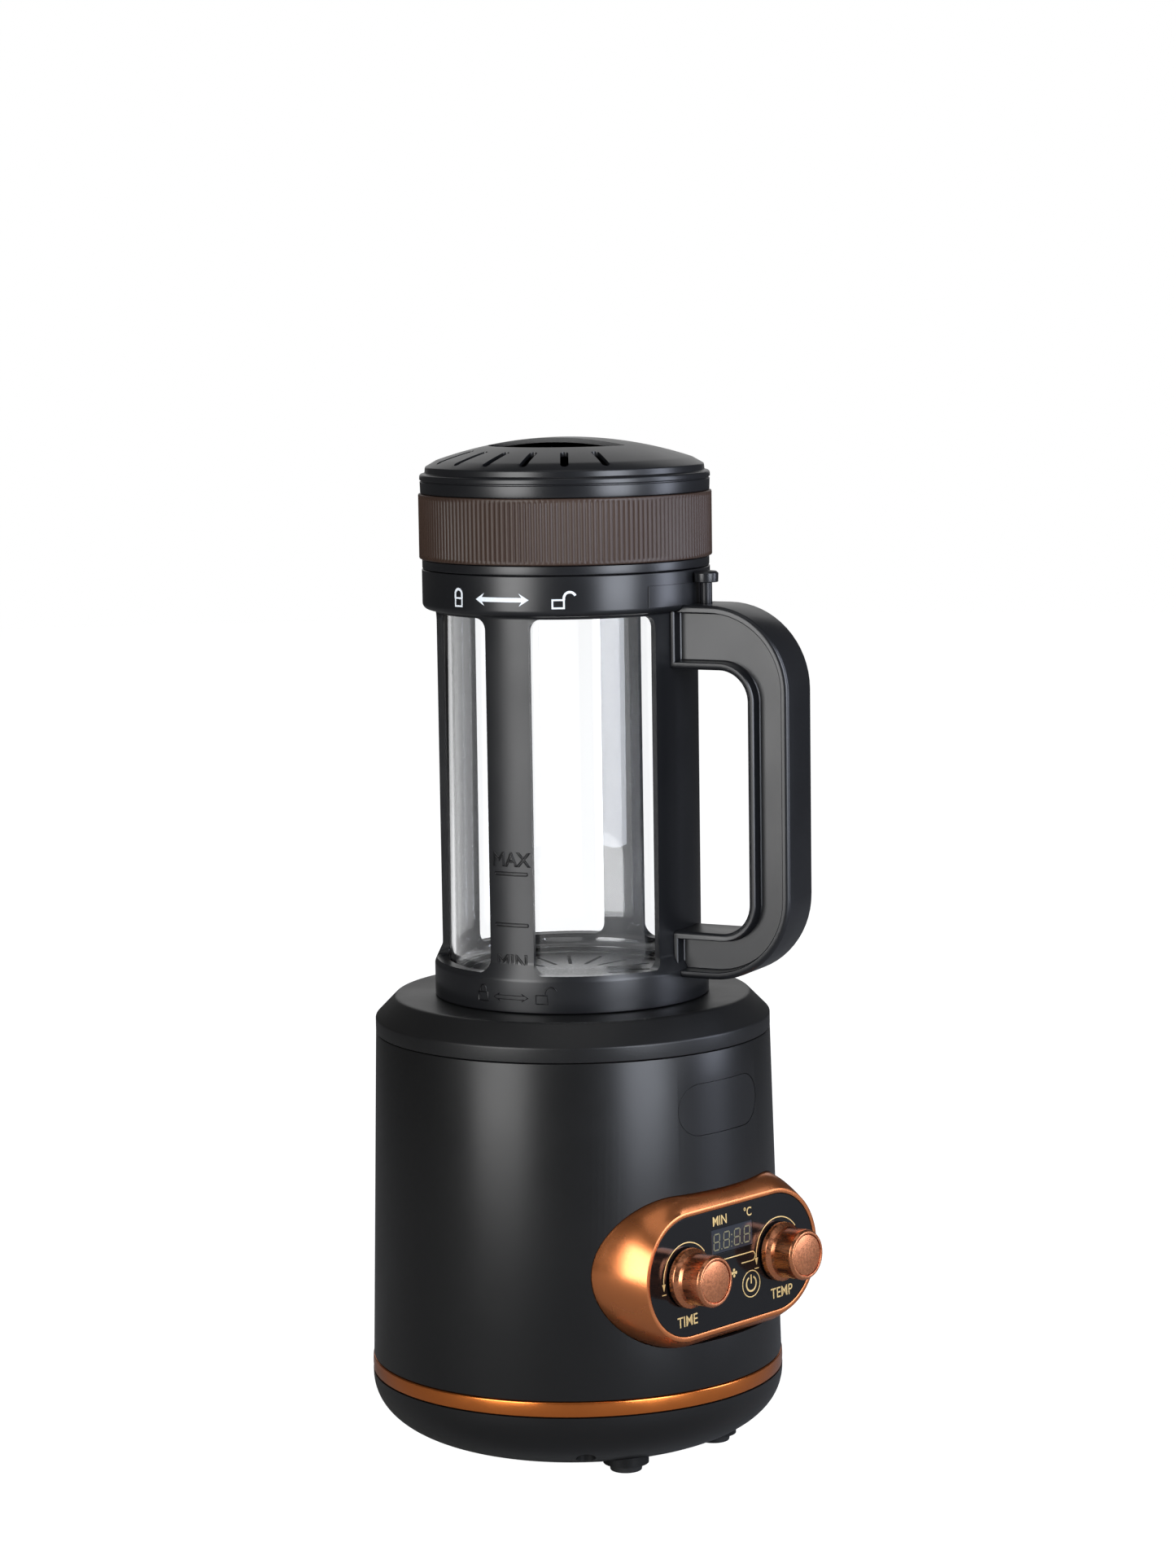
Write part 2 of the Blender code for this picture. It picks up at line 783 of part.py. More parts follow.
def make_shell():
    outline = [(shell_foot_radius - shell_wall, shell_bottom), (shell_foot_radius, shell_bottom),
               (shell_top_radius, shell_top), (shell_top_radius - shell_wall, shell_top)]
    shell = new_object("body_shell", turned(outline), "charcoal")
    add(shell, round_ring(shell_boss, 4, screw_angle), "shell_bosses")

    def pilot():
        low = spigot_top - touch_gap
        hole = disc(screw_shank + touch_gap, low, low + screw_bite + pilot_spare, screw_steps)
        return placed(hole, Matrix.Translation((screw_circle_radius, 0, 0)))

    cut(shell, round_ring(pilot, 4, screw_angle), "shell_pilots")
    opening_outline = stadium(face_half_straight, bezel_outer_radius + touch_gap)
    opening = prism(opening_outline, panel_distance / 3, 2 * panel_distance)
    cut(shell, placed(opening, facing_front(bezel_middle)), "panel_opening")
    cut(shell, badge_plate(touch_gap, -badge_sink, shell_wall), "badge_recess")
    gland_hole = disc(gland_radius + touch_gap, 0.0, shell_foot_radius + shell_wall)
    cut(shell, placed(gland_hole, facing_back(gland_height)), "gland_hole")


def facing_front(height):
    """Takes +Z to the front, -Y, from a point on the axis."""
    return Matrix.Translation((0, 0, height)) @ Matrix.Rotation(math.pi / 2, 4, "X")


def facing_back(height):
    return Matrix.Translation((0, 0, height)) @ Matrix.Rotation(-math.pi / 2, 4, "X")


def badge_plate(grow, inner_offset, outer_offset):
    """The pill shape of the badge bent round the shell, grown by a clearance."""
    half_height = badge_height / 2 + grow
    radius = shell_radius(badge_middle)
    half_angle = badge_half_angle + math.degrees(grow / radius)
    low = badge_middle - half_height
    high = badge_middle + half_height
    columns = round_cornered_columns(half_angle, low, high, half_height, radius, steps=badge_steps)
    return wrapped(columns, lambda height: shell_radius(height) + inner_offset - grow,
                   lambda height: shell_radius(height) + outer_offset, 0.0)


def make_badge():
    new_object("badge_plate", badge_plate(0.0, -badge_sink, 0.0), "satin_black")


def make_gland():
    outer = shell_radius(gland_height) + touch_gap
    end = outer + gland_flange_height
    inside = shell_radius(gland_height) - shell_wall - gland_inside
    outline = rounded([(gland_bore, inside, 0), (gland_radius, inside, 0), (gland_radius, outer, 0),
                       (gland_flange_radius, outer, 0), (gland_flange_radius, end, gland_edge),
                       (gland_bore, end, 0)])
    new_object("cord_gland", turned(outline, small_steps), "rubber", matrix=facing_back(gland_height))


def make_deck():
    lip_outer = shell_top_radius - shell_wall - touch_gap
    lip_inner = lip_outer - deck_wall
    lip_low = deck_bottom - deck_lip_depth
    under = deck_top - deck_wall
    seat_under = seat_low - seat_floor
    well = seat_radius + seat_wall
    chamfer = Vector((deck_flat_radius - shell_top_radius, deck_top - deck_corner)).normalized()
    inset = Vector((-chamfer.y, chamfer.x)) * deck_wall
    inner_corner = deck_flat_radius + inset.x
    outline = [(collar_radius, deck_top, 0), (collar_radius, collar_low, 0), (seat_radius, collar_low, 0),
               (seat_radius, seat_low, 0), (air_hole_radius, seat_low, 0), (air_hole_radius, seat_under, 0),
               (well, seat_under, 0), (well, under, 0), (inner_corner, under, 0),
               (lip_inner, deck_corner - deck_wall, 0), (lip_inner, lip_low, 0), (lip_outer, lip_low, 0),
               (lip_outer, deck_bottom, 0), (shell_top_radius, deck_bottom, 0),
               (shell_top_radius, deck_corner, deck_edge), (deck_flat_radius, deck_top, deck_brow)]
    deck = new_object("deck_cover", turned(rounded(outline, 1)), "charcoal")

    def entry():
        columns = arc_columns(lug_width + lug_entry_spare, collar_low - overrun, deck_top + overrun)
        return bent_block(columns, spigot_radius - overrun, seat_radius)

    cut(deck, round_ring(entry, lug_count, lug_first_angle), "lug_entries")


# ---------------------------------------------------------------- control panel

def panel_frame():
    """Empty at the panel's middle: local X to the right, local Z up the tilted face, local -Y outwards."""
    frame = bpy.data.objects.new("panel_frame", None)
    frame.matrix_world = (Matrix.Translation((0, -panel_distance, panel_height))
                          @ Matrix.Rotation(-math.radians(panel_tilt), 4, "X"))
    bpy.context.scene.collection.objects.link(frame)
    return frame


def on_panel(x, y, depth):
    """Local placement at panel coordinates, depth behind the face, with +Z outwards."""
    return Matrix.Translation((x, depth, y)) @ Matrix.Rotation(math.pi / 2, 4, "X")


def make_bezel(frame):
    """Lofted ring from the flat front rim back to the curved shell, with a skirt into the opening."""
    def flat_ring(radius, depth):
        return [frame.matrix_world @ Vector((x, depth, z)) for x, z in stadium(face_half_straight, radius)]

    def shell_ring(radius, sink):
        ring = []
        for x, z in stadium(face_half_straight, radius):
            height = z + bezel_middle
            reach = shell_radius(height) - sink
            ring.append(Vector((x, -math.sqrt(reach ** 2 - x ** 2), height)))
        return ring

    outer = bezel_outer_radius
    opening = face_radius + touch_gap
    rings = [flat_ring(face_radius + bezel_rim, 0.0), shell_ring(outer, -bezel_lap)]
    rings += [shell_ring(outer, bezel_skirt), shell_ring(outer - bezel_wall, bezel_skirt)]
    rings += [flat_ring(opening, bezel_depth), flat_ring(opening, 0.0)]
    bm = bmesh.new()
    loops = [[bm.verts.new(point) for point in ring] for ring in rings]
    for here, there in zip(loops, loops[1:] + loops[:1]):
        for index in range(len(here)):
            following = (index + 1) % len(here)
            bm.faces.new((here[index], here[following], there[following], there[index]))
    new_object("control_bezel", bm, "copper_paint")


def make_face(frame):
    back = -(face_sink + face_thickness)
    face = new_object("control_face", prism(stadium(face_half_straight, face_radius), back, -face_sink),
                      "panel_black", frame, on_panel(0, 0, 0))
    low = back - weld
    window = display_half_width + touch_gap
    holes = [placed(disc(shaft_radius + slip_gap, low, weld, screw_steps),
                    Matrix.Translation((side * knob_spacing / 2, 0, 0))) for side in (-1, 1)]
    holes.append(box((-window, display_low - touch_gap, low), (window, display_high + touch_gap, weld)))
    cut(face, merged(holes), "face_holes")


def make_panel_inside(frame):
    """Display, touch pad, encoders and their board, all behind the face."""
    on_face = on_panel(0, 0, 0)
    display = box((-display_half_width, display_low, -display_depth),
                  (display_half_width, display_high, -face_sink))
    new_object("display_module", display, "display", frame, on_face)
    pad_front = -(face_sink + face_thickness + touch_gap)
    pad = disc(touch_radius, pad_front - touch_thickness, pad_front)
    new_object("touch_sensor", pad, "circuit", frame, on_panel(*touch_place, 0))
    board = box((-board_half_length, -board_half_height, -(board_depth + board_thickness)),
                (board_half_length, board_half_height, -board_depth))
    new_object("control_board", board, "circuit", frame, on_face)
    half = encoder_size / 2
    low = touch_gap - board_depth
    for name, side in (("time", -1), ("temp", 1)):
        block = box((-half, -half, low), (half, half, low + encoder_depth))
        place = on_panel(side * knob_spacing / 2, 0, 0)
        encoder = new_object(f"{name}_encoder", block, "nylon", frame, place)
        bore = disc(shaft_radius + touch_gap, low + encoder_floor, low + encoder_depth + weld, screw_steps)
        cut(encoder, bore, f"{name}_encoder_bore")


def make_knob(frame, name, side):
    """A knob with its inset cap and shaft, turning on the shaft's axis."""
    axis = bpy.data.objects.new(f"{name}_axis", None)
    bpy.context.scene.collection.objects.link(axis)
    axis.parent = frame
    axis.matrix_basis = on_panel(side * knob_spacing / 2, 0, 0)
    foot = slip_gap
    slope_low = foot + knob_flange_height
    end = foot + knob_length
    bore = shaft_radius + touch_gap
    bore_end = foot + shaft_inside_knob + touch_gap
    well = knob_cap_radius + touch_gap
    well_floor = end - knob_cap_depth - touch_gap
    outline = [(bore, foot, 0), (knob_flange_radius, foot, foot_edge)]
    outline += [(knob_flange_radius, slope_low, foot_edge), (knob_radius, slope_low + knob_slope, slip_gap)]
    outline += [(knob_radius, end, knob_rim_edge), (well, end, 0), (well, well_floor, 0)]
    outline += [(0, well_floor, 0), (0, bore_end, 0), (bore, bore_end, 0)]
    new_object(f"{name}_knob", turned(rounded(outline, 1), knob_steps), "copper_paint", axis)
    cap = disc(knob_cap_radius, end - knob_cap_depth, end, knob_steps)
    new_object(f"{name}_knob_cap", cap, "copper_paint", axis)
    shaft_low = encoder_floor - board_depth + 2 * touch_gap
    shaft = disc(shaft_radius, shaft_low, foot + shaft_inside_knob, screw_steps)
    new_object(f"{name}_shaft", shaft, "steel", axis)


# ---------------------------------------------------------------- fan, motor and heater

def make_motor():
    bore = motor_shaft_radius + slip_gap
    can = tube(bore, motor_radius, motor_low, motor_low + motor_length, small_steps)
    new_object("motor_can", can, "steel")
    shaft = disc(motor_shaft_radius, motor_low - motor_shaft_end, impeller_top - impeller_plate, screw_steps)
    new_object("motor_shaft", shaft, "steel")
    plate = tube(bracket_bore, bracket_radius, bracket_low, bracket_top)
    bracket = new_object("motor_bracket", plate, "steel")

    def air_hole():
        hole = disc(bracket_hole, bracket_low - weld, bracket_top + weld, screw_steps)
        return placed(hole, Matrix.Translation((bracket_hole_circle, 0, 0)))

    legs = []
    for angle in leg_angles():
        leg = disc(leg_radius, leg_foot + touch_gap, bracket_low + bracket_thickness / 2, screw_steps)
        legs.append(upright_at(leg, leg_circle_radius, angle))
    add(bracket, merged(legs), "bracket_legs")
    cut(bracket, round_ring(air_hole, bracket_holes, 0.0), "bracket_air_holes")


def make_fan():
    inner = housing_radius - housing_wall
    mouth = heater_tube_radius - housing_mouth_lip
    floor = housing_low + housing_wall
    roof = housing_top - housing_wall
    outline = [(inlet_radius, housing_low), (housing_radius, housing_low), (housing_radius, housing_top),
               (mouth, housing_top), (mouth, roof), (inner, roof), (inner, floor), (inlet_radius, floor)]
    new_object("fan_housing", turned(outline), "nylon")
    bore = motor_shaft_radius + touch_gap
    plate = impeller_top - impeller_plate
    outline = [(bore, impeller_low), (impeller_hub, impeller_low), (impeller_hub, plate)]
    outline += [(impeller_radius, plate), (impeller_radius, impeller_top), (0, impeller_top)]
    outline += [(0, plate + touch_gap), (bore, plate + touch_gap)]
    impeller = new_object("fan_impeller", turned(outline), "nylon")

    def blade():
        end = impeller_radius - weld
        points = [(blade_start, -blade_half_thickness), (end, blade_lean - blade_half_thickness),
                  (end, blade_lean + blade_half_thickness), (blade_start, blade_half_thickness)]
        return prism(points, impeller_low, impeller_top - impeller_plate / 2)

    add(impeller, round_ring(blade, impeller_blades, 0.0), "impeller_blades")


def make_heater():
    duct = tube(heater_tube_radius - heater_tube_wall, heater_tube_radius, heater_low, heater_top)
    new_object("heater_tube", duct, "steel")
    high = mica_low + mica_height
    half = mica_thickness / 2
    sheet = box((-mica_half_width, -half, mica_low), (mica_half_width, half, high))
    frame = new_object("heater_frame", sheet, "mica")
    cross = box((-half, -mica_half_width, mica_low + weld), (half, mica_half_width, high - weld))
    add(frame, cross, "mica_cross")
    coil_low = mica_low + coil_end_gap
    coil("heater_coil", coil_wire, coil_radius, coil_low, high - coil_end_gap, coil_turns, coil_steps)
    cutout_low = mica_low + cutout_lift
    cutout_place = Matrix.Translation((0, heater_tube_radius + touch_gap + cutout_radius, 0))
    cutout = disc(cutout_radius, cutout_low, cutout_low + cutout_height, screw_steps)
    new_object("thermal_cutout", cutout, "steel", matrix=cutout_place)
    width, thickness, height = power_board_size
    board = box((-width / 2, power_board_distance, bracket_low),
                (width / 2, power_board_distance + thickness, bracket_low + height))
    new_object("power_board", board, "circuit")


# ---------------------------------------------------------------- jar

def cage_outside(grow=0.0):
    """The cage's outer profile from its foot to its top, grown by a clearance."""
    foot = cage_foot_radius + grow
    body = cage_radius + grow
    head = cage_head_radius + grow
    shoulder = cage_bottom + cage_foot_height
    return [(foot, cage_bottom - grow, slip_gap), (foot, shoulder + grow, cage_soft_edge),
            (body, shoulder + cage_shoulder_height + grow, cage_soft_edge),
            (body, cage_head_bottom - grow, weld), (head, cage_head_bottom - grow, cage_head_brow)]


def make_cage():
    spigot_low = cage_bottom - jar_spigot_drop
    groove_top = cage_top - cage_lip_height
    floor_hole = cage_spigot_bore - cage_floor_ledge
    outline = [(spigot_radius, spigot_low, 0), (spigot_radius, cage_bottom, 0)] + cage_outside()
    outline += [(cage_head_radius, cage_top, touch_gap), (lip_radius, cage_top, 0)]
    outline += [(lip_radius, groove_top, 0), (groove_radius, groove_top, 0)]
    outline += [(groove_radius, shelf_height, 0), (cage_bore, shelf_height, 0)]
    outline += [(cage_bore, cage_floor_top, 0), (floor_hole, cage_floor_top, 0), (floor_hole, cage_floor, 0)]
    outline += [(cage_spigot_bore, cage_floor, 0), (cage_spigot_bore, spigot_low, 0)]
    cage = new_object("cage_frame", turned(rounded(outline, 1)), "satin_black")
    lug_columns = arc_columns(lug_width, spigot_low + lug_lift, spigot_low + lug_lift + lug_height)

    def lug():
        return bent_block(lug_columns, spigot_radius - weld, spigot_radius + lug_reach)

    add(cage, round_ring(lug, lug_count, lug_first_angle), "jar_lugs")
    windows = []
    for middle, width in window_places():
        columns = round_cornered_columns(width / 2, window_low, window_high, window_corner, cage_radius)
        windows.append(bent_block(columns, cage_bore - weld, cage_radius + weld, middle))
    cut(cage, merged(windows), "cage_windows")

    def lid_entry():
        columns = arc_columns(lid_lug_width + lid_entry_spare, groove_top - weld, cage_top + weld)
        return bent_block(columns, lip_radius - weld, groove_radius - lid_entry_web)

    cut(cage, round_ring(lid_entry, lid_lug_count, lid_lug_first_angle), "lid_lug_entries")
    screw_holes = [handle_screw_hole(height, 2 * touch_gap, True) for height in handle_screw_heights()]
    cut(cage, merged(screw_holes), "cage_screw_holes")


def window_places():
    """(middle angle, width) of the four windows between the posts and the handle's strap."""
    edges = [(handle_angle, strap_width), (post_angle + 180, post_width),
             (post_angle + 270 + rear_post_turn, rear_post_width), (post_angle + 360, post_width)]
    places = []
    for (here, here_width), (there, there_width) in zip(edges, edges[1:] + edges[:1]):
        start = here + here_width / 2
        end = there - there_width / 2
        if end < start:
            end += 360
        places.append(((start + end) / 2, end - start))
    return places


def make_glass():
    top = shelf_height - touch_gap
    inner = glass_radius - glass_wall
    lip = inner - glass_floor_lip
    floor = glass_bottom + glass_wall
    outline = [(lip, glass_bottom, 0), (glass_radius, glass_bottom, glass_low_curve)]
    outline += [(glass_radius, top, glass_rim), (inner, top, glass_rim)]
    outline += [(inner, floor, glass_low_curve - glass_wall), (lip, floor, 0)]
    new_object("glass_chamber", turned(rounded(outline, 1)), "glass")
    low = cage_floor_top + touch_gap
    new_object("chamber_gasket", tube(lip, glass_radius - weld, low, low + gasket_height), "silicone")
    plate_radius = lip - touch_gap
    high = low + distributor_thickness
    plate = new_object("air_distributor", disc(plate_radius, low, high), "steel")

    def slot():
        half = distributor_slot_width / 2
        end = plate_radius - distributor_rim
        return box((distributor_slot_start, -half, low - weld), (end, half, high + weld))

    cut(plate, round_ring(slot, distributor_slots, 0.0), "distributor_slots")


def make_jar_seal():
    low = seat_low + touch_gap
    seal = tube(air_hole_radius + weld, spigot_radius - touch_gap, low, low + jar_seal_height)
    new_object("jar_base_seal", seal, "silicone")


def handle_outline():
    """The C-shaped side view of the handle, as (distance from the axis, height, corner radius)."""
    start = cage_bore
    out = handle_reach
    top = handle_top
    low = handle_bottom
    hand = handle_reach - grip_thickness
    hand_top = handle_top - upper_arm_height
    hand_low = handle_bottom + lower_arm_height
    outside = [(start, top, 0), (out, top, handle_corner), (out, low, handle_corner), (start, low, 0)]
    inside = [(start, hand_low, 0), (hand, hand_low, hand_corner), (hand, hand_top, hand_corner)]
    inside += [(start, hand_top, 0)]
    return outside + inside


def handle_place():
    """Takes the (distance, height) plane to the handle's upright plane."""
    return round_axis(handle_angle) @ Matrix.Rotation(math.pi / 2, 4, "X")


def make_handle():
    half = handle_width / 2
    bm = prism(rounded(handle_outline(), 5), -half, half)
    caps = [face for face in bm.faces if len(face.verts) > 4]
    edge, rim = handle_edge, handle_rim - handle_edge
    bmesh.ops.inset_region(bm, faces=caps, thickness=edge, depth=-edge / 3, use_even_offset=True)
    bmesh.ops.inset_region(bm, faces=caps, thickness=rim, depth=0.0, use_even_offset=True)
    bmesh.ops.inset_region(bm, faces=caps, thickness=handle_draft, depth=-handle_recess, use_even_offset=True)
    placed(bm, handle_place())
    handle = new_object("jar_handle", bm, "satin_black")
    cut(handle, cage_saddle(), "cage_saddle")
    holes = [handle_screw_hole(height, touch_gap, False) for height in handle_screw_heights()]
    bore = disc(button_bore_radius, button_bore_bottom, handle_top + overrun, 2 * screw_steps)
    holes.append(upright_at(bore, button_circle_radius, handle_angle))
    cut(handle, merged(holes), "handle_holes")


def cage_saddle():
    """The room the cage takes inside the handle's two arms, from below its foot to its top."""
    low = cage_bottom - jar_spigot_drop
    foot = cage_foot_radius + touch_gap
    head = cage_head_radius + touch_gap
    sides = cage_outside(touch_gap)[1:]
    return turned(rounded([(0, low, 0), (foot, low, 0)] + sides + [(head, cage_top, 0), (0, cage_top, 0)], 1))


def handle_screw_heights():
    upper = handle_top - upper_arm_height * upper_screw_place
    return (upper, handle_bottom + lower_arm_height * lower_screw_place)


def handle_screw_hole(height, clearance, sink):
    """Cutter for a handle screw: a straight hole, with a wide mouth for its head inside the cage."""
    start = cage_bore - overrun
    end = cage_radius + handle_screw_reach + weld
    shank = screw_shank + clearance
    outline = [(0, start), (shank, start), (shank, end), (0, end)]
    if sink:
        seat = cage_bore + handle_screw_sink
        head = handle_screw_head + clearance
        outline = [(0, start), (head, start), (head, seat), (shank, seat)] + outline[2:]
    return placed(turned(outline, screw_steps), screw_line(height))


def screw_line(height):
    """Takes +Z to the handle's outward direction at a height."""
    return Matrix.Translation((0, 0, height)) @ round_axis(handle_angle) @ Matrix.Rotation(math.pi / 2, 4, "Y")


def make_handle_screws():
    start = cage_bore + touch_gap
    neck = cage_bore + handle_screw_sink - touch_gap
    end = cage_radius + handle_screw_reach
    outline = [(0, start), (handle_screw_head, start), (handle_screw_head, neck), (screw_shank, neck),
               (screw_shank, end), (0, end)]
    for name, height in zip(("upper", "lower"), handle_screw_heights()):
        new_object(f"handle_screw_{name}", turned(outline, screw_steps), "steel", matrix=screw_line(height))


def make_button():
    """The lock button that stands in the handle's top arm, and its return spring under the stem."""
    place = Matrix.Translation(direction(handle_angle) * button_circle_radius)
    cap_low = button_top - button_cap_height
    stem_low = cap_low - button_stem_length
    outline = rounded([(0, stem_low, 0), (button_stem_radius, stem_low, 0), (button_stem_radius, cap_low, 0),
                       (button_cap_radius, cap_low, touch_gap), (button_cap_radius, button_top, button_edge),
                       (0, button_top, 0)])
    button = new_object("lid_lock_button", turned(outline, small_steps), "satin_black", matrix=place)
    lid_way = tube(spigot_radius, cage_head_radius + slip_gap, cap_low - weld, button_top + weld)
    cut(button, lid_way, "button_lid_way", Matrix.Identity(4))
    low = button_bore_bottom + touch_gap + spring_wire
    high = stem_low - touch_gap - spring_wire
    wound = button_bore_radius - touch_gap - spring_wire
    spring = coil("button_spring", spring_wire, wound, low, high, spring_turns, spring_steps)
    spring.matrix_world = place


# ---------------------------------------------------------------- lid

def make_lid_core():
    """Collar, skirt with bayonet lugs and the tube that carries the grip ring and the dome."""
    outline = [(lid_bore, skirt_bottom, 0), (lid_skirt_radius, skirt_bottom, 0),
               (lid_skirt_radius, lid_bottom, 0),
               (lid_collar_radius, lid_bottom, touch_gap), (lid_collar_radius, collar_top, 0),
               (core_radius, collar_top, 0), (core_radius, core_top, 0), (core_bore, core_top, 0),
               (core_bore, collar_top, 0), (lid_bore, collar_top, 0)]
    core = new_object("lid_core_ring", turned(rounded(outline, 1)), "satin_black")
    lug_high = cage_top - cage_lip_height - touch_gap
    columns = arc_columns(lid_lug_width, lug_high - lid_lug_height, lug_high)

    def lug():
        return bent_block(columns, lid_skirt_radius - weld, groove_radius - slip_gap)

    add(core, round_ring(lug, lid_lug_count, lid_lug_first_angle), "lid_lugs")


def make_grip():
    new_object("grip_ring", tube(core_radius + touch_gap, grip_radius, grip_low, grip_high), "brown")


def crown_height(radius):
    """Height of the dome's outer face at a radius."""
    return dome_top - (dome_crown_radius - math.sqrt(dome_crown_radius ** 2 - radius ** 2))


def crown_points(radius, drop):
    """Points across the dome from its middle out to a radius, a wall's depth down or none."""
    spots = [radius * step / dome_points for step in range(dome_points + 1)]
    return [(spot, crown_height(spot) - drop) for spot in spots]


def make_dome():
    bore = core_radius + touch_gap
    step_radius = dome_ring_radius - dome_step_inset
    flange_top = dome_ring_top + dome_flange_height
    inner = dome_bore - weld
    ledge = core_top + touch_gap
    outline = [(bore, dome_low), (dome_ring_radius, dome_low), (dome_ring_radius, flange_top - weld),
               (dome_ring_radius - weld, flange_top), (step_radius, flange_top),
               (step_radius, dome_edge_height - dome_shoulder)]
    outline += crown_points(dome_edge_radius, 0.0)[::-1] + crown_points(inner, dome_wall)
    outline += [(dome_bore, crown_height(dome_bore) - dome_wall - weld), (dome_bore, ledge), (bore, ledge)]
    dome = new_object("lid_dome", turned(outline), "satin_black")
    outlet = prism(outlet_outline(), dome_edge_height - overrun, dome_top + weld, round_axis(outlet_angle))
    cut(dome, outlet, "outlet")

    def vent():
        half = vent_width / 2
        points = []
        for end, middle in enumerate((vent_inner + half, vent_outer - half)):
            for step in range(corner_steps * 2 + 1):
                turn = math.pi * (step / (corner_steps * 2) + 0.5 + end)
                points.append((middle + half * math.cos(turn), half * math.sin(turn)))
        return prism(points, dome_ring_top + dome_flange_height, dome_top)

    first = outlet_angle - vent_pitch * (vent_count - 1) / 2
    cut(dome, round_ring(vent, vent_count, first, vent_pitch), "vents")


def outlet_outline():
    """The half-moon outlet at +X: an arc round the axis closed by a straight edge."""
    half_turn = math.acos(outlet_chord / outlet_radius)
    points = []
    for step in range(outlet_steps + 1):
        turn = half_turn * (2 * step / outlet_steps - 1)
        points.append((outlet_radius * math.cos(turn), outlet_radius * math.sin(turn)))
    return points


def make_chaff_cup():
    """Ring-shaped cup that catches chaff round a chimney for the air."""
    low = skirt_bottom + cup_lift
    floor = low + cup_wall
    rim = low + cup_height
    chimney_top = low + chimney_height
    outer = lid_bore - touch_gap
    way = chimney_radius - cup_wall
    outline = [(way, low), (outer, low), (outer, rim), (outer - cup_wall, rim), (outer - cup_wall, floor),
               (chimney_radius, floor), (chimney_radius, chimney_top), (way, chimney_top)]
    new_object("chaff_cup", turned(outline), "steel")


def make_vent_screen():
    low = core_top + 2 * touch_gap
    high = low + screen_thickness
    screen = new_object("vent_screen", disc(dome_bore - touch_gap, low, high, ring_steps), "steel")
    holes = []
    for radius, count in screen_hole_rings:
        for index in range(count):
            hole = disc(screen_hole, low - weld, high + weld, screen_hole_steps)
            holes.append(upright_at(hole, radius, 360.0 * index / count))
    cut(screen, merged(holes), "screen_holes")


def make_lid_seal():
    low = shelf_height + touch_gap
    seal = tube(lid_bore - lid_seal_lap, lid_skirt_radius, low, low + lid_seal_height)
    new_object("lid_seal", seal, "silicone")


def main():
    for thing in list(bpy.data.objects):
        bpy.data.objects.remove(thing)
    make_pan()
    make_feet()
    make_pan_screws()
    make_band()
    make_shell()
    make_badge()
    make_gland()
    make_deck()
    frame = panel_frame()
    bpy.context.view_layer.update()
    make_bezel(frame)
    make_face(frame)
    make_panel_inside(frame)
    make_knob(frame, "time", -1)
    make_knob(frame, "temp", 1)
    make_motor()
    make_fan()
    make_heater()
    make_cage()
    make_glass()
    make_jar_seal()
    make_handle()
    make_handle_screws()
    make_button()
    make_lid_core()
    make_grip()
    make_dome()
    make_chaff_cup()
    make_vent_screen()
    make_lid_seal()


main()
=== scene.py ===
import math

import bmesh
import bpy
from mathutils import Matrix, Vector


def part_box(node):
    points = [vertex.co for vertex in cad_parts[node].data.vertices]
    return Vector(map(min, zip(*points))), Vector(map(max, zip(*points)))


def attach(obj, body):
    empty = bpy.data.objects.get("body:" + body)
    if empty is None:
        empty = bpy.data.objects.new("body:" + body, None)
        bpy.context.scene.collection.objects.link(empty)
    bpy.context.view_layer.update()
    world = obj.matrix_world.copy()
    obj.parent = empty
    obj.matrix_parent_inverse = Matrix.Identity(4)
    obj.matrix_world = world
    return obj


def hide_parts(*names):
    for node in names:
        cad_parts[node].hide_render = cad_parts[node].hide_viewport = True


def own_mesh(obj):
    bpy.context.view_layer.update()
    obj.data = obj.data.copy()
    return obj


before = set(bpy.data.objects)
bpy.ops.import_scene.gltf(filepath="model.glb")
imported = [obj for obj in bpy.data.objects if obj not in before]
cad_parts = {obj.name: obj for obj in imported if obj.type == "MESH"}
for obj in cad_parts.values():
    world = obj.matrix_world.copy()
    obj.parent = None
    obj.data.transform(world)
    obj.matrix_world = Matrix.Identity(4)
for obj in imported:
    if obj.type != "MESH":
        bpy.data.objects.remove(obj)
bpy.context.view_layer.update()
mm = 0.001
roundSteps = 144


# looks: every finish is a node material that reads Object coordinates
def newMaterial(name, colour, roughness, metallic=0.0):
    mat = bpy.data.materials.new(name)
    mat.use_nodes = True
    shader = mat.node_tree.nodes["Principled BSDF"]
    shader.inputs["Base Color"].default_value = (*colour, 1)
    shader.inputs["Roughness"].default_value = roughness
    shader.inputs["Metallic"].default_value = metallic
    mat.diffuse_color = (*colour, 1)
    return mat, shader


def objectNoise(mat, scale, detail=2.0, stretch=(1, 1, 1)):
    nodes, links = mat.node_tree.nodes, mat.node_tree.links
    coord = nodes.new("ShaderNodeTexCoord")
    mapping = nodes.new("ShaderNodeMapping")
    mapping.inputs["Scale"].default_value = stretch
    noise = nodes.new("ShaderNodeTexNoise")
    noise.inputs["Scale"].default_value = scale
    noise.inputs["Detail"].default_value = detail
    links.new(coord.outputs["Object"], mapping.inputs["Vector"])
    links.new(mapping.outputs["Vector"], noise.inputs["Vector"])
    return noise.outputs["Fac"]


def spread(mat, source, low, high, into):
    nodes, links = mat.node_tree.nodes, mat.node_tree.links
    ramp = nodes.new("ShaderNodeMapRange")
    ramp.inputs["From Min"].default_value = 0.3
    ramp.inputs["From Max"].default_value = 0.7
    ramp.inputs["To Min"].default_value = low
    ramp.inputs["To Max"].default_value = high
    links.new(source, ramp.inputs["Value"])
    links.new(ramp.outputs["Result"], into)


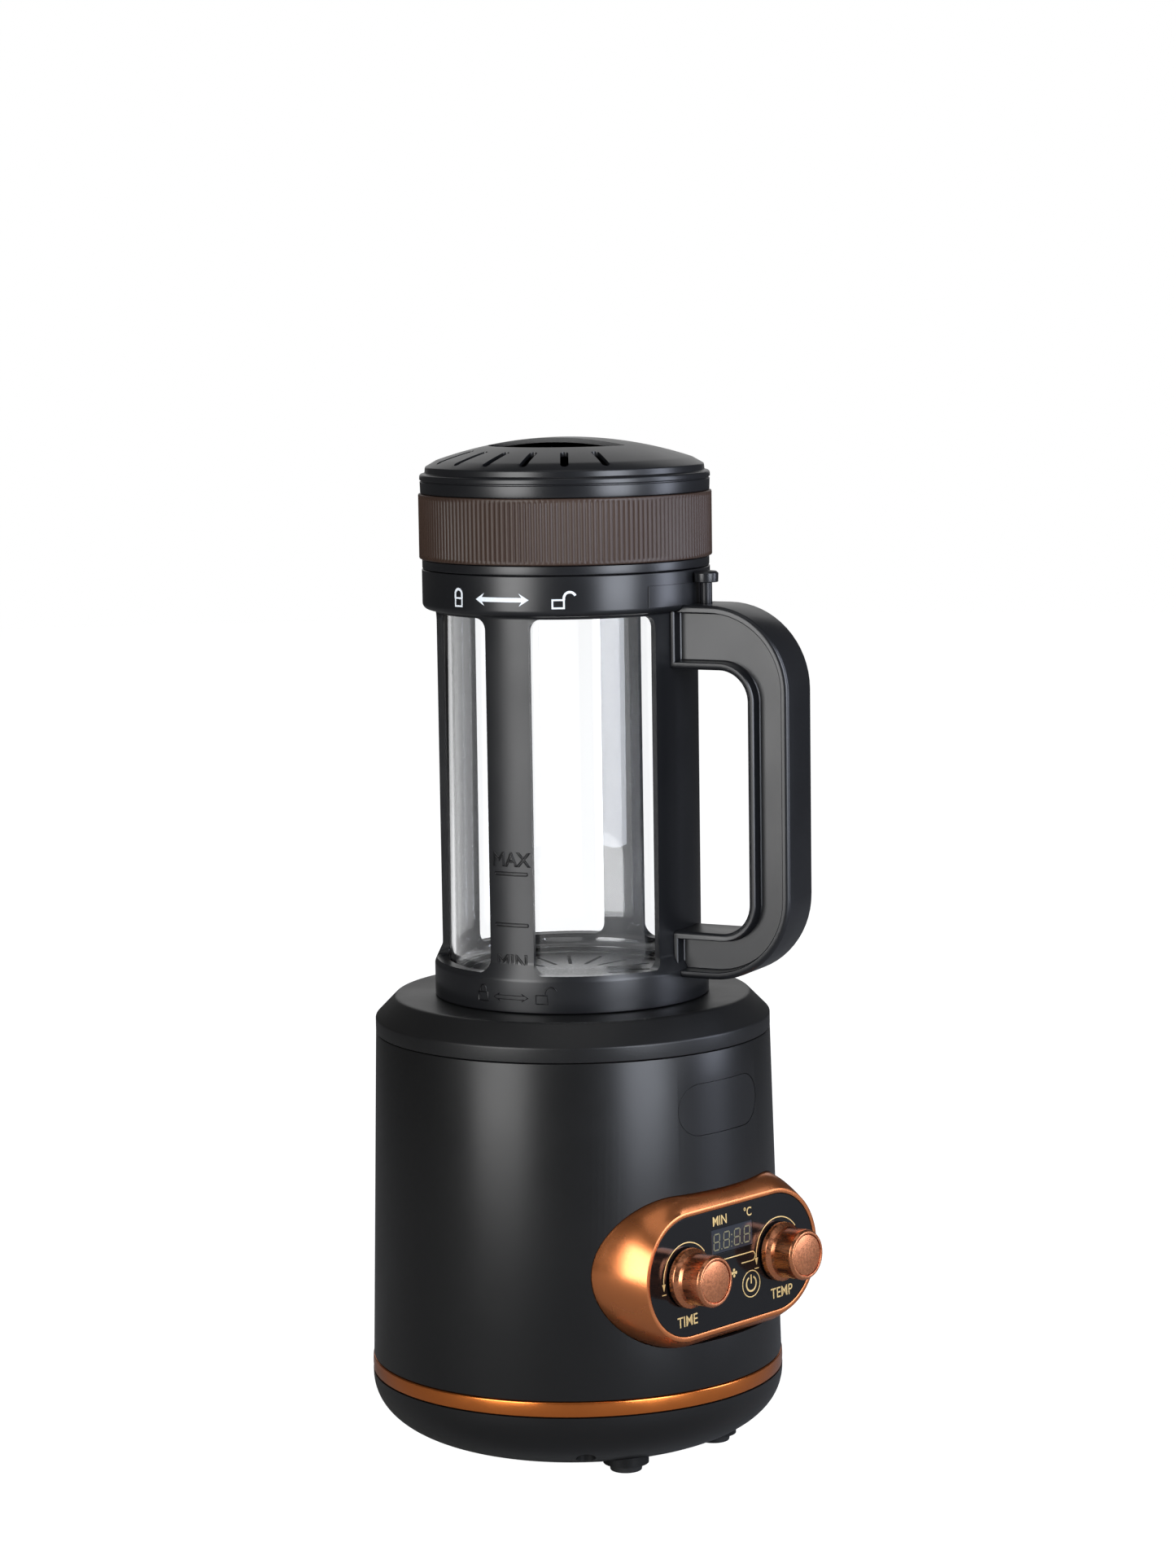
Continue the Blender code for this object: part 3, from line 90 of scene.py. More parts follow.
def mottle(mat, shader, source, colour, otherColour):
    nodes, links = mat.node_tree.nodes, mat.node_tree.links
    ramp = nodes.new("ShaderNodeValToRGB")
    ramp.color_ramp.elements[0].position = 0.32
    ramp.color_ramp.elements[0].color = (*colour, 1)
    ramp.color_ramp.elements[1].position = 0.68
    ramp.color_ramp.elements[1].color = (*otherColour, 1)
    links.new(source, ramp.inputs["Fac"])
    links.new(ramp.outputs["Color"], shader.inputs["Base Color"])


def relief(mat, shader, source, depth, strength=1.0):
    nodes, links = mat.node_tree.nodes, mat.node_tree.links
    bump = nodes.new("ShaderNodeBump")
    bump.inputs["Strength"].default_value = strength
    bump.inputs["Distance"].default_value = depth
    links.new(source, bump.inputs["Height"])
    links.new(bump.outputs["Normal"], shader.inputs["Normal"])


def mouldedPlastic(name, look):
    mat, shader = newMaterial(name, look["colour"], look["roughness"])
    shader.inputs["Specular IOR Level"].default_value = look["specular"]
    mottle(mat, shader, objectNoise(mat, 9.0, 4.0), look["colour"], look["otherColour"])
    smudge = objectNoise(mat, 38.0, 6.0)
    spread(mat, smudge, look["roughness"] - look["smudge"], look["roughness"] + look["smudge"],
           shader.inputs["Roughness"])
    relief(mat, shader, objectNoise(mat, look["grain"], 2.0), look["grainDepth"])
    return mat


def metallicPaint(name, look):
    mat, shader = newMaterial(name, look["colour"], look["roughness"], look["metallic"])
    shader.inputs["Coat Weight"].default_value = look["coat"]
    shader.inputs["Coat Roughness"].default_value = 0.12
    mottle(mat, shader, objectNoise(mat, 5200.0, 1.0), look["colour"], look["otherColour"])
    spread(mat, objectNoise(mat, 60.0, 4.0), look["roughness"] - 0.04, look["roughness"] + 0.05,
           shader.inputs["Roughness"])
    relief(mat, shader, objectNoise(mat, 2600.0, 2.0), 0.0000008)
    return mat


def brushedMetal(name, look):
    mat, shader = newMaterial(name, look["colour"], look["roughness"], 1.0)
    shader.inputs["Anisotropic"].default_value = look["anisotropy"]
    mottle(mat, shader, objectNoise(mat, 130.0, 5.0), look["colour"], look["otherColour"])
    lines = objectNoise(mat, 900.0, 3.0, look["stretch"])
    spread(mat, lines, look["roughness"] - 0.06, look["roughness"] + 0.08, shader.inputs["Roughness"])
    relief(mat, shader, lines, 0.0000004)
    return mat


def softRubber(name, colour):
    mat, shader = newMaterial(name, colour, 0.75)
    lighter = tuple(part * 1.5 + 0.004 for part in colour)
    mottle(mat, shader, objectNoise(mat, 300.0, 5.0), colour, lighter)
    spread(mat, objectNoise(mat, 80.0, 4.0), 0.62, 0.85, shader.inputs["Roughness"])
    relief(mat, shader, objectNoise(mat, 3500.0, 2.0), 0.000015)
    return mat


def screenInk(name, look):
    mat, shader = newMaterial(name, look["colour"], look["roughness"], look["metallic"])
    mottle(mat, shader, objectNoise(mat, 1600.0, 3.0), look["colour"], look["otherColour"])
    spread(mat, objectNoise(mat, 400.0, 2.0), look["roughness"] - 0.05, look["roughness"] + 0.08,
           shader.inputs["Roughness"])
    relief(mat, shader, objectNoise(mat, 5000.0, 1.0), 0.000004)
    return mat


def clearGlass(name, look):
    mat, shader = newMaterial(name, look["colour"], look["roughness"])
    shader.inputs["Transmission Weight"].default_value = 1.0
    shader.inputs["IOR"].default_value = look["ior"]
    spread(mat, objectNoise(mat, 14.0, 5.0), 0.0, look["haze"], shader.inputs["Roughness"])
    return mat


def circuitBoard(name, look):
    mat, shader = newMaterial(name, look["colour"], 0.45)
    nodes, links = mat.node_tree.nodes, mat.node_tree.links
    coord = nodes.new("ShaderNodeTexCoord")
    tracks = nodes.new("ShaderNodeTexBrick")
    tracks.inputs["Scale"].default_value = 160.0
    tracks.inputs["Color1"].default_value = (*look["colour"], 1)
    tracks.inputs["Color2"].default_value = (*look["otherColour"], 1)
    tracks.inputs["Mortar"].default_value = (*look["trackColour"], 1)
    links.new(coord.outputs["Object"], tracks.inputs["Vector"])
    links.new(tracks.outputs["Color"], shader.inputs["Base Color"])
    relief(mat, shader, objectNoise(mat, 900.0), 0.00002)
    return mat


charcoal = mouldedPlastic("charcoalPlastic", {
    "colour": (0.0055, 0.0055, 0.0056), "otherColour": (0.0072, 0.0072, 0.0073), "roughness": 0.32,
    "specular": 0.42, "smudge": 0.02, "grain": 2600.0, "grainDepth": 0.00001})
deckPlastic = mouldedPlastic("deckPlastic", {
    "colour": (0.006, 0.006, 0.0062), "otherColour": (0.008, 0.008, 0.0082), "roughness": 0.38,
    "specular": 0.42, "smudge": 0.04, "grain": 2100.0, "grainDepth": 0.000025})
satinBlack = mouldedPlastic("satinBlackPlastic", {
    "colour": (0.007, 0.0074, 0.0086), "otherColour": (0.0095, 0.01, 0.0115), "roughness": 0.3,
    "specular": 0.52, "smudge": 0.025, "grain": 3000.0, "grainDepth": 0.000008})
gripBrown = mouldedPlastic("gripBrown", {
    "colour": (0.034, 0.0185, 0.0125), "otherColour": (0.046, 0.026, 0.018), "roughness": 0.44,
    "specular": 0.4, "smudge": 0.05, "grain": 2400.0, "grainDepth": 0.000012})
badgeBlack = mouldedPlastic("badgeBlack", {
    "colour": (0.0085, 0.0085, 0.0088), "otherColour": (0.0105, 0.0105, 0.011), "roughness": 0.31,
    "specular": 0.4, "smudge": 0.02, "grain": 3600.0, "grainDepth": 0.000004})
panelBlack = mouldedPlastic("panelBlack", {
    "colour": (0.0035, 0.0035, 0.004), "otherColour": (0.005, 0.005, 0.0055), "roughness": 0.1,
    "specular": 0.45, "smudge": 0.03, "grain": 600.0, "grainDepth": 0.0000015})
displayGlass = mouldedPlastic("displayWindow", {
    "colour": (0.02, 0.023, 0.03), "otherColour": (0.03, 0.034, 0.043), "roughness": 0.12,
    "specular": 0.5, "smudge": 0.03, "grain": 900.0, "grainDepth": 0.000001})
naturalNylon = mouldedPlastic("naturalNylon", {
    "colour": (0.55, 0.53, 0.47), "otherColour": (0.62, 0.6, 0.53), "roughness": 0.45,
    "specular": 0.5, "smudge": 0.06, "grain": 1800.0, "grainDepth": 0.00001})
micaSheet = mouldedPlastic("micaSheet", {
    "colour": (0.38, 0.3, 0.18), "otherColour": (0.52, 0.44, 0.3), "roughness": 0.5,
    "specular": 0.6, "smudge": 0.1, "grain": 700.0, "grainDepth": 0.00003})
copperPaint = metallicPaint("copperPaint", {
    "colour": (0.74, 0.235, 0.078), "otherColour": (0.82, 0.285, 0.105), "roughness": 0.27,
    "metallic": 0.95, "coat": 0.12})
bandPaint = metallicPaint("bandPaint", {
    "colour": (0.8, 0.21, 0.035), "otherColour": (0.85, 0.25, 0.055), "roughness": 0.2,
    "metallic": 0.97, "coat": 0.25})
copperMetal = brushedMetal("copperMetal", {
    "colour": (0.8, 0.3, 0.14), "otherColour": (0.83, 0.325, 0.16), "roughness": 0.26,
    "anisotropy": 0.2, "stretch": (1, 0.15, 1)})
darkSteel = brushedMetal("darkSteel", {
    "colour": (0.07, 0.072, 0.075), "otherColour": (0.1, 0.1, 0.1), "roughness": 0.36,
    "anisotropy": 0.2, "stretch": (1, 1, 0.1)})
# the raised marks are coloured darker than the cage plastic they are moulded in: painted shade standing in for the
# shadow lines round their embossed outlines
markPaintedShade = mouldedPlastic("markPaintedShade", {
    "colour": (0.003, 0.003, 0.0034), "otherColour": (0.0045, 0.0045, 0.005), "roughness": 0.3,
    "specular": 0.35, "smudge": 0.02, "grain": 3000.0, "grainDepth": 0.000004})
plainSteel = brushedMetal("plainSteel", {
    "colour": (0.5, 0.5, 0.5), "otherColour": (0.58, 0.58, 0.58), "roughness": 0.3,
    "anisotropy": 0.2, "stretch": (1, 1, 0.1)})
heatingWire = brushedMetal("heatingWire", {
    "colour": (0.16, 0.14, 0.13), "otherColour": (0.25, 0.2, 0.17), "roughness": 0.5,
    "anisotropy": 0.0, "stretch": (1, 1, 1)})
goldInk = screenInk("goldInk", {
    "colour": (0.78, 0.55, 0.21), "otherColour": (0.86, 0.63, 0.28), "roughness": 0.35,
                                "metallic": 0.35})
whiteInk = screenInk("whiteInk", {
    "colour": (0.72, 0.78, 0.84), "otherColour": (0.82, 0.86, 0.9), "roughness": 0.45, "metallic": 0.0})
segmentInk = screenInk("segmentInk", {
    "colour": (0.17, 0.16, 0.09), "otherColour": (0.25, 0.23, 0.13), "roughness": 0.3, "metallic": 0.0})
chamberGlass = clearGlass("chamberGlass", {
    "colour": (0.985, 0.99, 0.995), "roughness": 0.0, "ior": 1.46, "haze": 0.02})
blackRubber = softRubber("blackRubber", (0.012, 0.012, 0.012))
greySilicone = softRubber("greySilicone", (0.075, 0.075, 0.072))
boardGreen = circuitBoard("boardGreen", {
    "colour": (0.02, 0.13, 0.05), "otherColour": (0.025, 0.16, 0.065),
                                         "trackColour": (0.4, 0.33, 0.15)})
print("looks made")


# bayonets: four lugs under the jar in the deck's notches, three under the lid in the cage's
jarLugAngles = [61 + 90 * index for index in range(4)]
lidLugAngles = [46 + 120 * index for index in range(3)]


# modelling helpers
def direction(angle):  # from the front, -Y, towards +X
    turn = math.radians(angle)
    return Vector((math.sin(turn), -math.cos(turn), 0))


def toAngle(angle):  # turns +X to that direction
    return Matrix.Rotation(math.radians(angle - 90), 4, "Z")


def rounded(corners, steps=5):  # (x, y, radius) corners to points, with arcs
    points = []
    for index, (x, y, radius) in enumerate(corners):
        here = Vector((x, y))
        if radius <= 0:
            points.append((x, y))
            continue
        before = (Vector(corners[index - 1][:2]) - here).normalized()
        after = (Vector(corners[(index + 1) % len(corners)][:2]) - here).normalized()
        half = before.angle(after) / 2
        centre = here + (before + after).normalized() * radius / math.sin(half)
        first = here + before * radius / math.tan(half) - centre
        last = here + after * radius / math.tan(half) - centre
        turn = first.angle_signed(last)
        for step in range(steps + 1):
            point = centre + Matrix.Rotation(-turn * step / steps, 2) @ first
            points.append((point.x, point.y))
    return points


def stadium(halfStraight, radius, steps=20):
    points = []
    for side in (1, -1):
        for step in range(steps + 1):
            turn = math.pi * (step / steps - 0.5)
            points.append((side * (halfStraight + radius * math.cos(turn)),
                           side * radius * math.sin(turn)))
    return points


def turned(outline, steps=roundSteps):  # closed (radius, height) outline spun round Z
    bm = bmesh.new()
    verts = [bm.verts.new((radius, 0, height)) for radius, height in outline]
    edges = [bm.edges.new(pair) for pair in zip(verts, verts[1:] + verts[:1])]
    bmesh.ops.spin(bm, geom=verts + edges, cent=(0, 0, 0), axis=(0, 0, 1), dvec=(0, 0, 0),
                   angle=math.tau, steps=steps, use_merge=True)
    bmesh.ops.remove_doubles(bm, verts=bm.verts, dist=1e-7)
    bmesh.ops.delete(bm, geom=[edge for edge in bm.edges if not edge.link_faces], context="EDGES")
    bmesh.ops.recalc_face_normals(bm, faces=bm.faces)
    return bm


def pushed(outline, low, high, place=None):  # flat outline extruded along Z
    bm = bmesh.new()
    face = bm.faces.new([bm.verts.new((x, y, low)) for x, y in outline])
    made = bmesh.ops.extrude_face_region(bm, geom=[face])["geom"]
    bmesh.ops.translate(bm, verts=[v for v in made if isinstance(v, bmesh.types.BMVert)],
                        vec=(0, 0, high - low))
    bmesh.ops.recalc_face_normals(bm, faces=bm.faces)
    if place is not None:
        bmesh.ops.transform(bm, matrix=place, verts=bm.verts)
    return bm


def box(low, high, place=None):
    bm = bmesh.new()
    low, high = Vector(low), Vector(high)
    bmesh.ops.create_cube(bm, size=1,
                          matrix=Matrix.Translation((low + high) / 2) @ Matrix.Diagonal((*(high - low),
                                                                                         1)))
    if place is not None:
        bmesh.ops.transform(bm, matrix=place, verts=bm.verts)
    return bm


def placed(bm, matrix):
    bmesh.ops.transform(bm, matrix=matrix, verts=bm.verts)
    return bm


def joined(parts):
    whole = bmesh.new()
    for part in parts:
        mesh = bpy.data.meshes.new("part")
        part.to_mesh(mesh)
        part.free()
        whole.from_mesh(mesh)
        bpy.data.meshes.remove(mesh)
    return whole


def aroundAxis(make, angles):
    return joined([placed(make(), toAngle(angle)) for angle in angles])


def edgeBevel(bm, width, segments=2, sharpness=32):  # softens every edge sharper than that
    sharp = [e for e in bm.edges if len(e.link_faces) == 2 and e.calc_face_angle(0) > math.radians(sharpness)]
    bmesh.ops.bevel(bm, geom=sharp, affect="EDGES", offset=width, segments=segments, profile=0.5,
                    material=-1, clamp_overlap=True)
    return bm


def looseObject(name, bm):
    mesh = bpy.data.meshes.new(name)
    bm.to_mesh(mesh)
    bm.free()
    made = bpy.data.objects.new(name, mesh)
    bpy.context.scene.collection.objects.link(made)
    return made


def carved(bm, steps):  # exact booleans, applied one after another
    target = looseObject("target", bm)
    tools = []
    for operation, toolMesh in steps:
        tool = looseObject("tool", toolMesh)
        tools.append(tool)
        boolean = target.modifiers.new("carve", "BOOLEAN")
        boolean.operation, boolean.solver, boolean.object = operation, "EXACT", tool
    bpy.context.view_layer.update()
    evaluated = target.evaluated_get(bpy.context.evaluated_depsgraph_get())
    result = bmesh.new()
    result.from_mesh(evaluated.to_mesh())
    evaluated.to_mesh_clear()
    for item in [target, *tools]:
        bpy.data.objects.remove(item)
    bmesh.ops.remove_doubles(result, verts=result.verts, dist=2e-6)
    bmesh.ops.dissolve_degenerate(result, edges=result.edges, dist=1e-6)
    return result


def piece(name, bm, material, body, nodes=(), sharpness=35):
    made = looseObject(name, bm)
    made.data.materials.append(material)
    made.data.shade_smooth()
    made.data.set_sharp_from_angle(angle=math.radians(sharpness))
    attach(made, body)
    if nodes:
        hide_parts(*nodes)
    return made


def softened(made, width, segments=2, sharpness=30):  # live bevel for carved shapes
    bevel = made.modifiers.new("softEdges", "BEVEL")
    bevel.width, bevel.segments, bevel.limit_method = width, segments, "ANGLE"
    bevel.angle_limit = math.radians(sharpness)
    bevel.harden_normals = True
    return made


def lettering(text, size, depth, place, bold=0.0, squeeze=1.0):
    curve = bpy.data.curves.new("lettering", "FONT")
    curve.body, curve.size, curve.extrude = text, size, depth / 2
    curve.offset, curve.resolution_u = bold, 4
    curve.align_x, curve.align_y = "CENTER", "CENTER"
    return curveMesh(curve, place @ Matrix.Diagonal((squeeze, 1, 1, 1)))


def curveMesh(curve, place):
    holder = bpy.data.objects.new("holder", curve)
    bpy.context.scene.collection.objects.link(holder)
    bpy.context.view_layer.update()
    evaluated = holder.evaluated_get(bpy.context.evaluated_depsgraph_get())
    bm = bmesh.new()
    bm.from_mesh(evaluated.to_mesh())
    evaluated.to_mesh_clear()
    bpy.data.objects.remove(holder)
    bmesh.ops.remove_doubles(bm, verts=bm.verts, dist=1e-7)
    bmesh.ops.recalc_face_normals(bm, faces=bm.faces)
    return placed(bm, place)


def line(points, width, depth, place, closed=False):  # a flat ruled line with mitred corners
    curve = bpy.data.curves.new("line", "CURVE")
    curve.dimensions, curve.bevel_mode = "3D", "ROUND"
    curve.bevel_depth, curve.bevel_resolution, curve.use_fill_caps = width / 2, 2, True
    spline = curve.splines.new("POLY")
    spline.points.add(len(points) - 1)
    for target, (x, y) in zip(spline.points, points):
        target.co = (x, y, 0, 1)
    spline.use_cyclic_u = closed
    return curveMesh(curve, place @ Matrix.Diagonal((1, 1, depth / width, 1)))


def arcPoints(centre, radius, start, end, steps=24):
    return [(centre[0] + radius * math.cos(math.radians(start + (end - start) * step / steps)),
             centre[1] + radius * math.sin(math.radians(start + (end - start) * step / steps)))
            for step in range(steps + 1)]


def wrappedOn(bm, radius, angle, height):  # bends flat artwork round the axis, cut in columns first
    column = 1.2 * mm
    reach = max(abs(vert.co.x) for vert in bm.verts)
    for index in range(-int(reach / column), int(reach / column) + 1):
        bmesh.ops.bisect_plane(bm, geom=bm.verts[:] + bm.edges[:] + bm.faces[:],
                               plane_co=(index * column, 0, 0), plane_no=(1, 0, 0))
    for vert in bm.verts:
        x, y, z = vert.co
        vert.co = direction(angle + math.degrees(x / radius)) * (radius + z) + Vector((0, 0,
                                                                                       height + y))
    return bm


# base
baseLook = {"roundSlope": 2.3, "flat": 34.7 * mm, "wall": 2.5 * mm, "edge": 0.35 * mm,
            "slotWidth": 3.2 * mm,
            "slotCount": 12, "slotFrom": 14 * mm, "slotTo": 30 * mm, "footAngle": 28,
            "footCircle": 56 * mm,
            "screwCircle": 71.5 * mm, "screwHead": 3.9 * mm}
bandLow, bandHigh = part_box("trim_band")
shellLow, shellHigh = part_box("body_shell")
deckLow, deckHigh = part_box("deck_cover")
panLow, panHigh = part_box("base_pan")
bandRadius = bandHigh.x
shellFoot = shellHigh.x
shellTopRadius = deckHigh.x


def panHeight(radius, inset=0.0):
    across = bandRadius - inset - baseLook["flat"]
    top = bandLow.z - 0.3 * mm
    share = min(max(radius - baseLook["flat"], 0) / across, 1)
    drop = top - panLow.z - inset
    return top - drop * (1 - share ** baseLook["roundSlope"]) ** (1 / baseLook["roundSlope"])


def panProfile(inset, count, limit):
    across = bandRadius - inset - baseLook["flat"]
    radii = [baseLook["flat"] + across * math.sin(math.pi / 2 * step / count) for step in range(count + 1)]
    return [(radius, panHeight(radius, inset)) for radius in radii if radius <= limit]


def shellRadius(height):
    share = (height - shellLow.z) / (shellHigh.z - shellLow.z)
    return shellFoot + (shellTopRadius - shellFoot) * share


def footAngles():
    return [baseLook["footAngle"], -baseLook["footAngle"], 180 - baseLook["footAngle"],
            180 + baseLook["footAngle"]]


def makePan():
    inner = 76 * mm
    outline = [(0, panLow.z)] + panProfile(0, 26, 1)
    outline += [(79 * mm, bandLow.z - 0.3 * mm), (79 * mm, panHigh.z), (inner, panHigh.z)]
    outline += panProfile(baseLook["wall"], 12, inner)[::-1] + [(0, panLow.z + baseLook["wall"])]
    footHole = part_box("foot_1")[1].z + 0.3 * mm
    footRadius = (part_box("foot_1")[1].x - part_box("foot_1")[0].x) / 2
    holes = [placed(turned([(0, -5 * mm), (footRadius + 0.35 * mm, -5 * mm),
                            (footRadius + 0.35 * mm, footHole), (0, footHole)], 40),
                    Matrix.Translation(direction(angle) * baseLook["footCircle"])) for angle in footAngles()]
    holes += [placed(turned([(0, -5 * mm), (baseLook["screwHead"], -5 * mm),
                             (baseLook["screwHead"], 24 * mm), (0, 24 * mm)], 24),
                     Matrix.Translation(direction(45 + 90 * index) * baseLook["screwCircle"])) for index in range(4)]

    def slot():
        half = baseLook["slotWidth"] / 2
        length = (baseLook["slotTo"] - baseLook["slotFrom"]) / 2 - half
        return pushed(stadium(length, half, 8), -2 * mm, 8 * mm,
                      Matrix.Translation(((baseLook["slotFrom"] + baseLook["slotTo"]) / 2, 0, 0)))

    slots = aroundAxis(slot,
                       [90 + 360 / baseLook["slotCount"] * index for index in range(baseLook["slotCount"])])
    bosses = joined([placed(turned([(0, 3 * mm), (9 * mm, 3 * mm), (9 * mm, 11 * mm), (0, 11 * mm)],
                                   40),
                            Matrix.Translation(direction(angle) * baseLook["footCircle"])) for angle in footAngles()])
    shape = carved(turned(outline),
                   [("UNION", bosses), ("DIFFERENCE", joined(holes)), ("DIFFERENCE", slots)])
    softened(piece("basePan", shape, charcoal, "base", ["base_pan"]), 0.25 * mm)


def makeFeet():
    for index, angle in enumerate(footAngles(), 1):
        low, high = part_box(f"foot_{index}")
        radius = (high.x - low.x) / 2
        outline = rounded([(0, 0, 0), (radius - 1 * mm, 0, 0), (radius - 0.3 * mm, 0, 0.4 * mm),
                           (radius, 2 * mm, 0.5 * mm),
                           (radius, high.z, 0.3 * mm), (0, high.z, 0)], 4)
        dimple = [(0, -1 * mm), (2.2 * mm, -1 * mm), (2.2 * mm, 0.5 * mm), (0, 0.9 * mm)]
        shape = carved(turned(outline, 48), [("DIFFERENCE", turned(dimple, 32))])
        placed(shape, Matrix.Translation(direction(angle) * baseLook["footCircle"]))
        piece(f"rubberFoot{index}", shape, blackRubber, "base", [f"foot_{index}"])


def makeBand():
    inner = bandRadius - 2.6 * mm
    soft = 0.55 * mm
    outline = rounded([(inner, bandLow.z, 0), (bandRadius - 0.15 * mm, bandLow.z, soft),
                       (bandRadius, (bandLow.z + bandHigh.z) / 2, 0),
                       (bandRadius - 0.15 * mm, bandHigh.z, soft), (inner, bandHigh.z, 0)], 5)
    piece("trimBand", turned(outline, 192), bandPaint, "base", ["trim_band"])


panel = {"place": Matrix.Translation((0, -83.5 * mm, 82.5 * mm)) @ Matrix.Rotation(math.radians(-2.3),
                                                                                   4, "X"),
         "halfStraight": 25.7 * mm, "faceRadius": 23.0 * mm, "rim": 2.1 * mm, "flare": 4.3 * mm,
         "rise": 0.8 * mm,
         "knobSpacing": 54.6 * mm, "sink": 0.2 * mm, "rimRound": 0.25 * mm}


def onFace(x=0.0, y=0.0, lift=0.0):  # panel coordinates, +Z out of the face
    return panel["place"] @ Matrix.Translation((x, 0, y)) @ Matrix.Rotation(math.pi / 2, 4,
                                                                            "X") @ Matrix.Translation((0, 0, lift))


def makeShell():
    wall = baseLook["wall"]
    edge = baseLook["edge"]
    outline = rounded([(shellFoot - wall, shellLow.z, 0), (shellFoot, shellLow.z, edge),
                       (shellTopRadius, shellHigh.z, edge), (shellTopRadius - wall, shellHigh.z, 0)], 4)
    flareRadius = panel["faceRadius"] + panel["rim"] + panel["flare"]
    opening = pushed(stadium(panel["halfStraight"], flareRadius + 0.3 * mm, 40), 30 * mm, 100 * mm,
                     Matrix.Translation((0, 0, 83.3 * mm)) @ Matrix.Rotation(math.pi / 2, 4, "X"))
    badgeMiddle = badgeMeasures()[0]
    pocket = carved(turned([(shellRadius(badgeMiddle) - 1.3 * mm, badgeMiddle - 20 * mm),
                            (90 * mm, badgeMiddle - 20 * mm),
                            (90 * mm, badgeMiddle + 20 * mm),
                            (shellRadius(badgeMiddle) - 1.3 * mm, badgeMiddle + 20 * mm)]),
                    [("INTERSECT", badgeOutline(0.2 * mm))])
    gland = turned([(0, 0), (5.9 * mm, 0), (5.9 * mm, 100 * mm), (0, 100 * mm)], 40)
    placed(gland, Matrix.Translation((0, 0,
                                      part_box("cord_gland")[0].z + 8.5 * mm)) @ Matrix.Rotation(-math.pi / 2, 4, "X"))
    shape = carved(turned(outline, 192),
                   [("DIFFERENCE", opening), ("DIFFERENCE", pocket), ("DIFFERENCE", gland)])
    softened(piece("bodyShell", shape, charcoal, "base", ["body_shell"]), 0.22 * mm,
             2, 40)


def badgeMeasures():
    low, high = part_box("badge_plate")
    return (low.z + high.z) / 2, (high.z - low.z) / 2


def badgeOutline(grow):
    middle, half = badgeMeasures()
    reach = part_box("badge_plate")[1].x
    return pushed(stadium(reach - half, half + grow, 28), 40 * mm, 100 * mm,
                  Matrix.Translation((0, 0, middle)) @ Matrix.Rotation(math.pi / 2, 4, "X"))


def makeBadge():
    middle, half = badgeMeasures()
    low, high = middle - 2 * half, middle + 2 * half
    ring = turned([(shellRadius(low) - 1.2 * mm, low), (shellRadius(low) - 0.12 * mm, low),
                   (shellRadius(high) - 0.12 * mm, high), (shellRadius(high) - 1.2 * mm, high)], 192)
    shape = carved(ring, [("INTERSECT", badgeOutline(0))])
    softened(piece("badgePlate", shape, badgeBlack, "base", ["badge_plate"]),
             0.15 * mm)


deckLook = {"mouth": 47.5 * mm, "groove": 51.3 * mm, "duct": 40.5 * mm, "well": 53.6 * mm,
            "skirt": 73.4 * mm, "ledge": 75.9 * mm, "plateau": 70.4 * mm, "lip": 6 * mm,
            "grooveDepth": 17 * mm, "floorDepth": 19.5 * mm, "skin": 2.5 * mm}


def makeDeck():
    d = deckLook
    top = deckHigh.z
    seamLow = shellHigh.z + 0.3 * mm
    flank = shellTopRadius
    grooveLow, floorLow, skinLow = top - d["grooveDepth"], top - d["floorDepth"], top - d["skin"]
    outline = [(d["mouth"], top, 0.6 * mm), (d["mouth"], top - d["lip"], 0),
               (d["groove"], top - d["lip"], 0), (d["groove"], grooveLow, 0),
               (d["duct"], grooveLow, 0), (d["duct"], floorLow, 0), (d["well"], floorLow, 0),
               (d["well"], skinLow, 0), (69 * mm, skinLow, 0),
               (d["skirt"], seamLow + 3.2 * mm, 0), (d["skirt"], deckLow.z, 0),
               (d["ledge"], deckLow.z, 0), (d["ledge"], seamLow, 0), (flank, seamLow, 0.3 * mm),
               (flank, seamLow + 5.7 * mm, 1.3 * mm), (d["plateau"], top, 2.6 * mm)]

    def entry():
        width = 19 / 360 * math.tau * 49 * mm / 2
        return box((40 * mm, -width, top - 8 * mm), (d["groove"], width, top + 3 * mm))

    shape = carved(turned(rounded(outline, 6)),
                   [("DIFFERENCE", aroundAxis(entry, jarLugAngles))])
    softened(piece("deckCover", shape, deckPlastic, "base", ["deck_cover"]),
             0.25 * mm, 2, 40)


def makeGland():
    low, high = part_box("cord_gland")
    height = (low.z + high.z) / 2
    start = low.y
    outer = shellRadius(height) + 0.3 * mm
    outline = rounded([(3.5 * mm, start, 0.3 * mm), (5.5 * mm, start, 0.3 * mm), (5.5 * mm, outer, 0),
                       (8.5 * mm, outer, 0.3 * mm),
                       (8.5 * mm, high.y - 0.8 * mm, 0.6 * mm), (7 * mm, high.y, 0.5 * mm),
                       (3.5 * mm, high.y, 0.4 * mm)], 4)
    shape = turned(outline, 64)
    placed(shape, Matrix.Translation((0, 0, height)) @ Matrix.Rotation(-math.pi / 2, 4, "X"))
    piece("cordGland", shape, blackRubber, "base", ["cord_gland"])


makePan()
makeFeet()
makeBand()
makeShell()
makeBadge()
makeDeck()
makeGland()
print("base made")


# control panel
def loftLoops(rings):  # closed rings of points joined one to the next, and the last to the first
    bm = bmesh.new()
    loops = []
    for ring in rings:
        verts = [bm.verts.new(point) for point in ring]
        loops.append([bm.edges.new(pair) for pair in zip(verts, verts[1:] + verts[:1])])
    for here, there in zip(loops, loops[1:] + loops[:1]):
        bmesh.ops.bridge_loops(bm, edges=here + there)
    bmesh.ops.recalc_face_normals(bm, faces=bm.faces)
    return bm


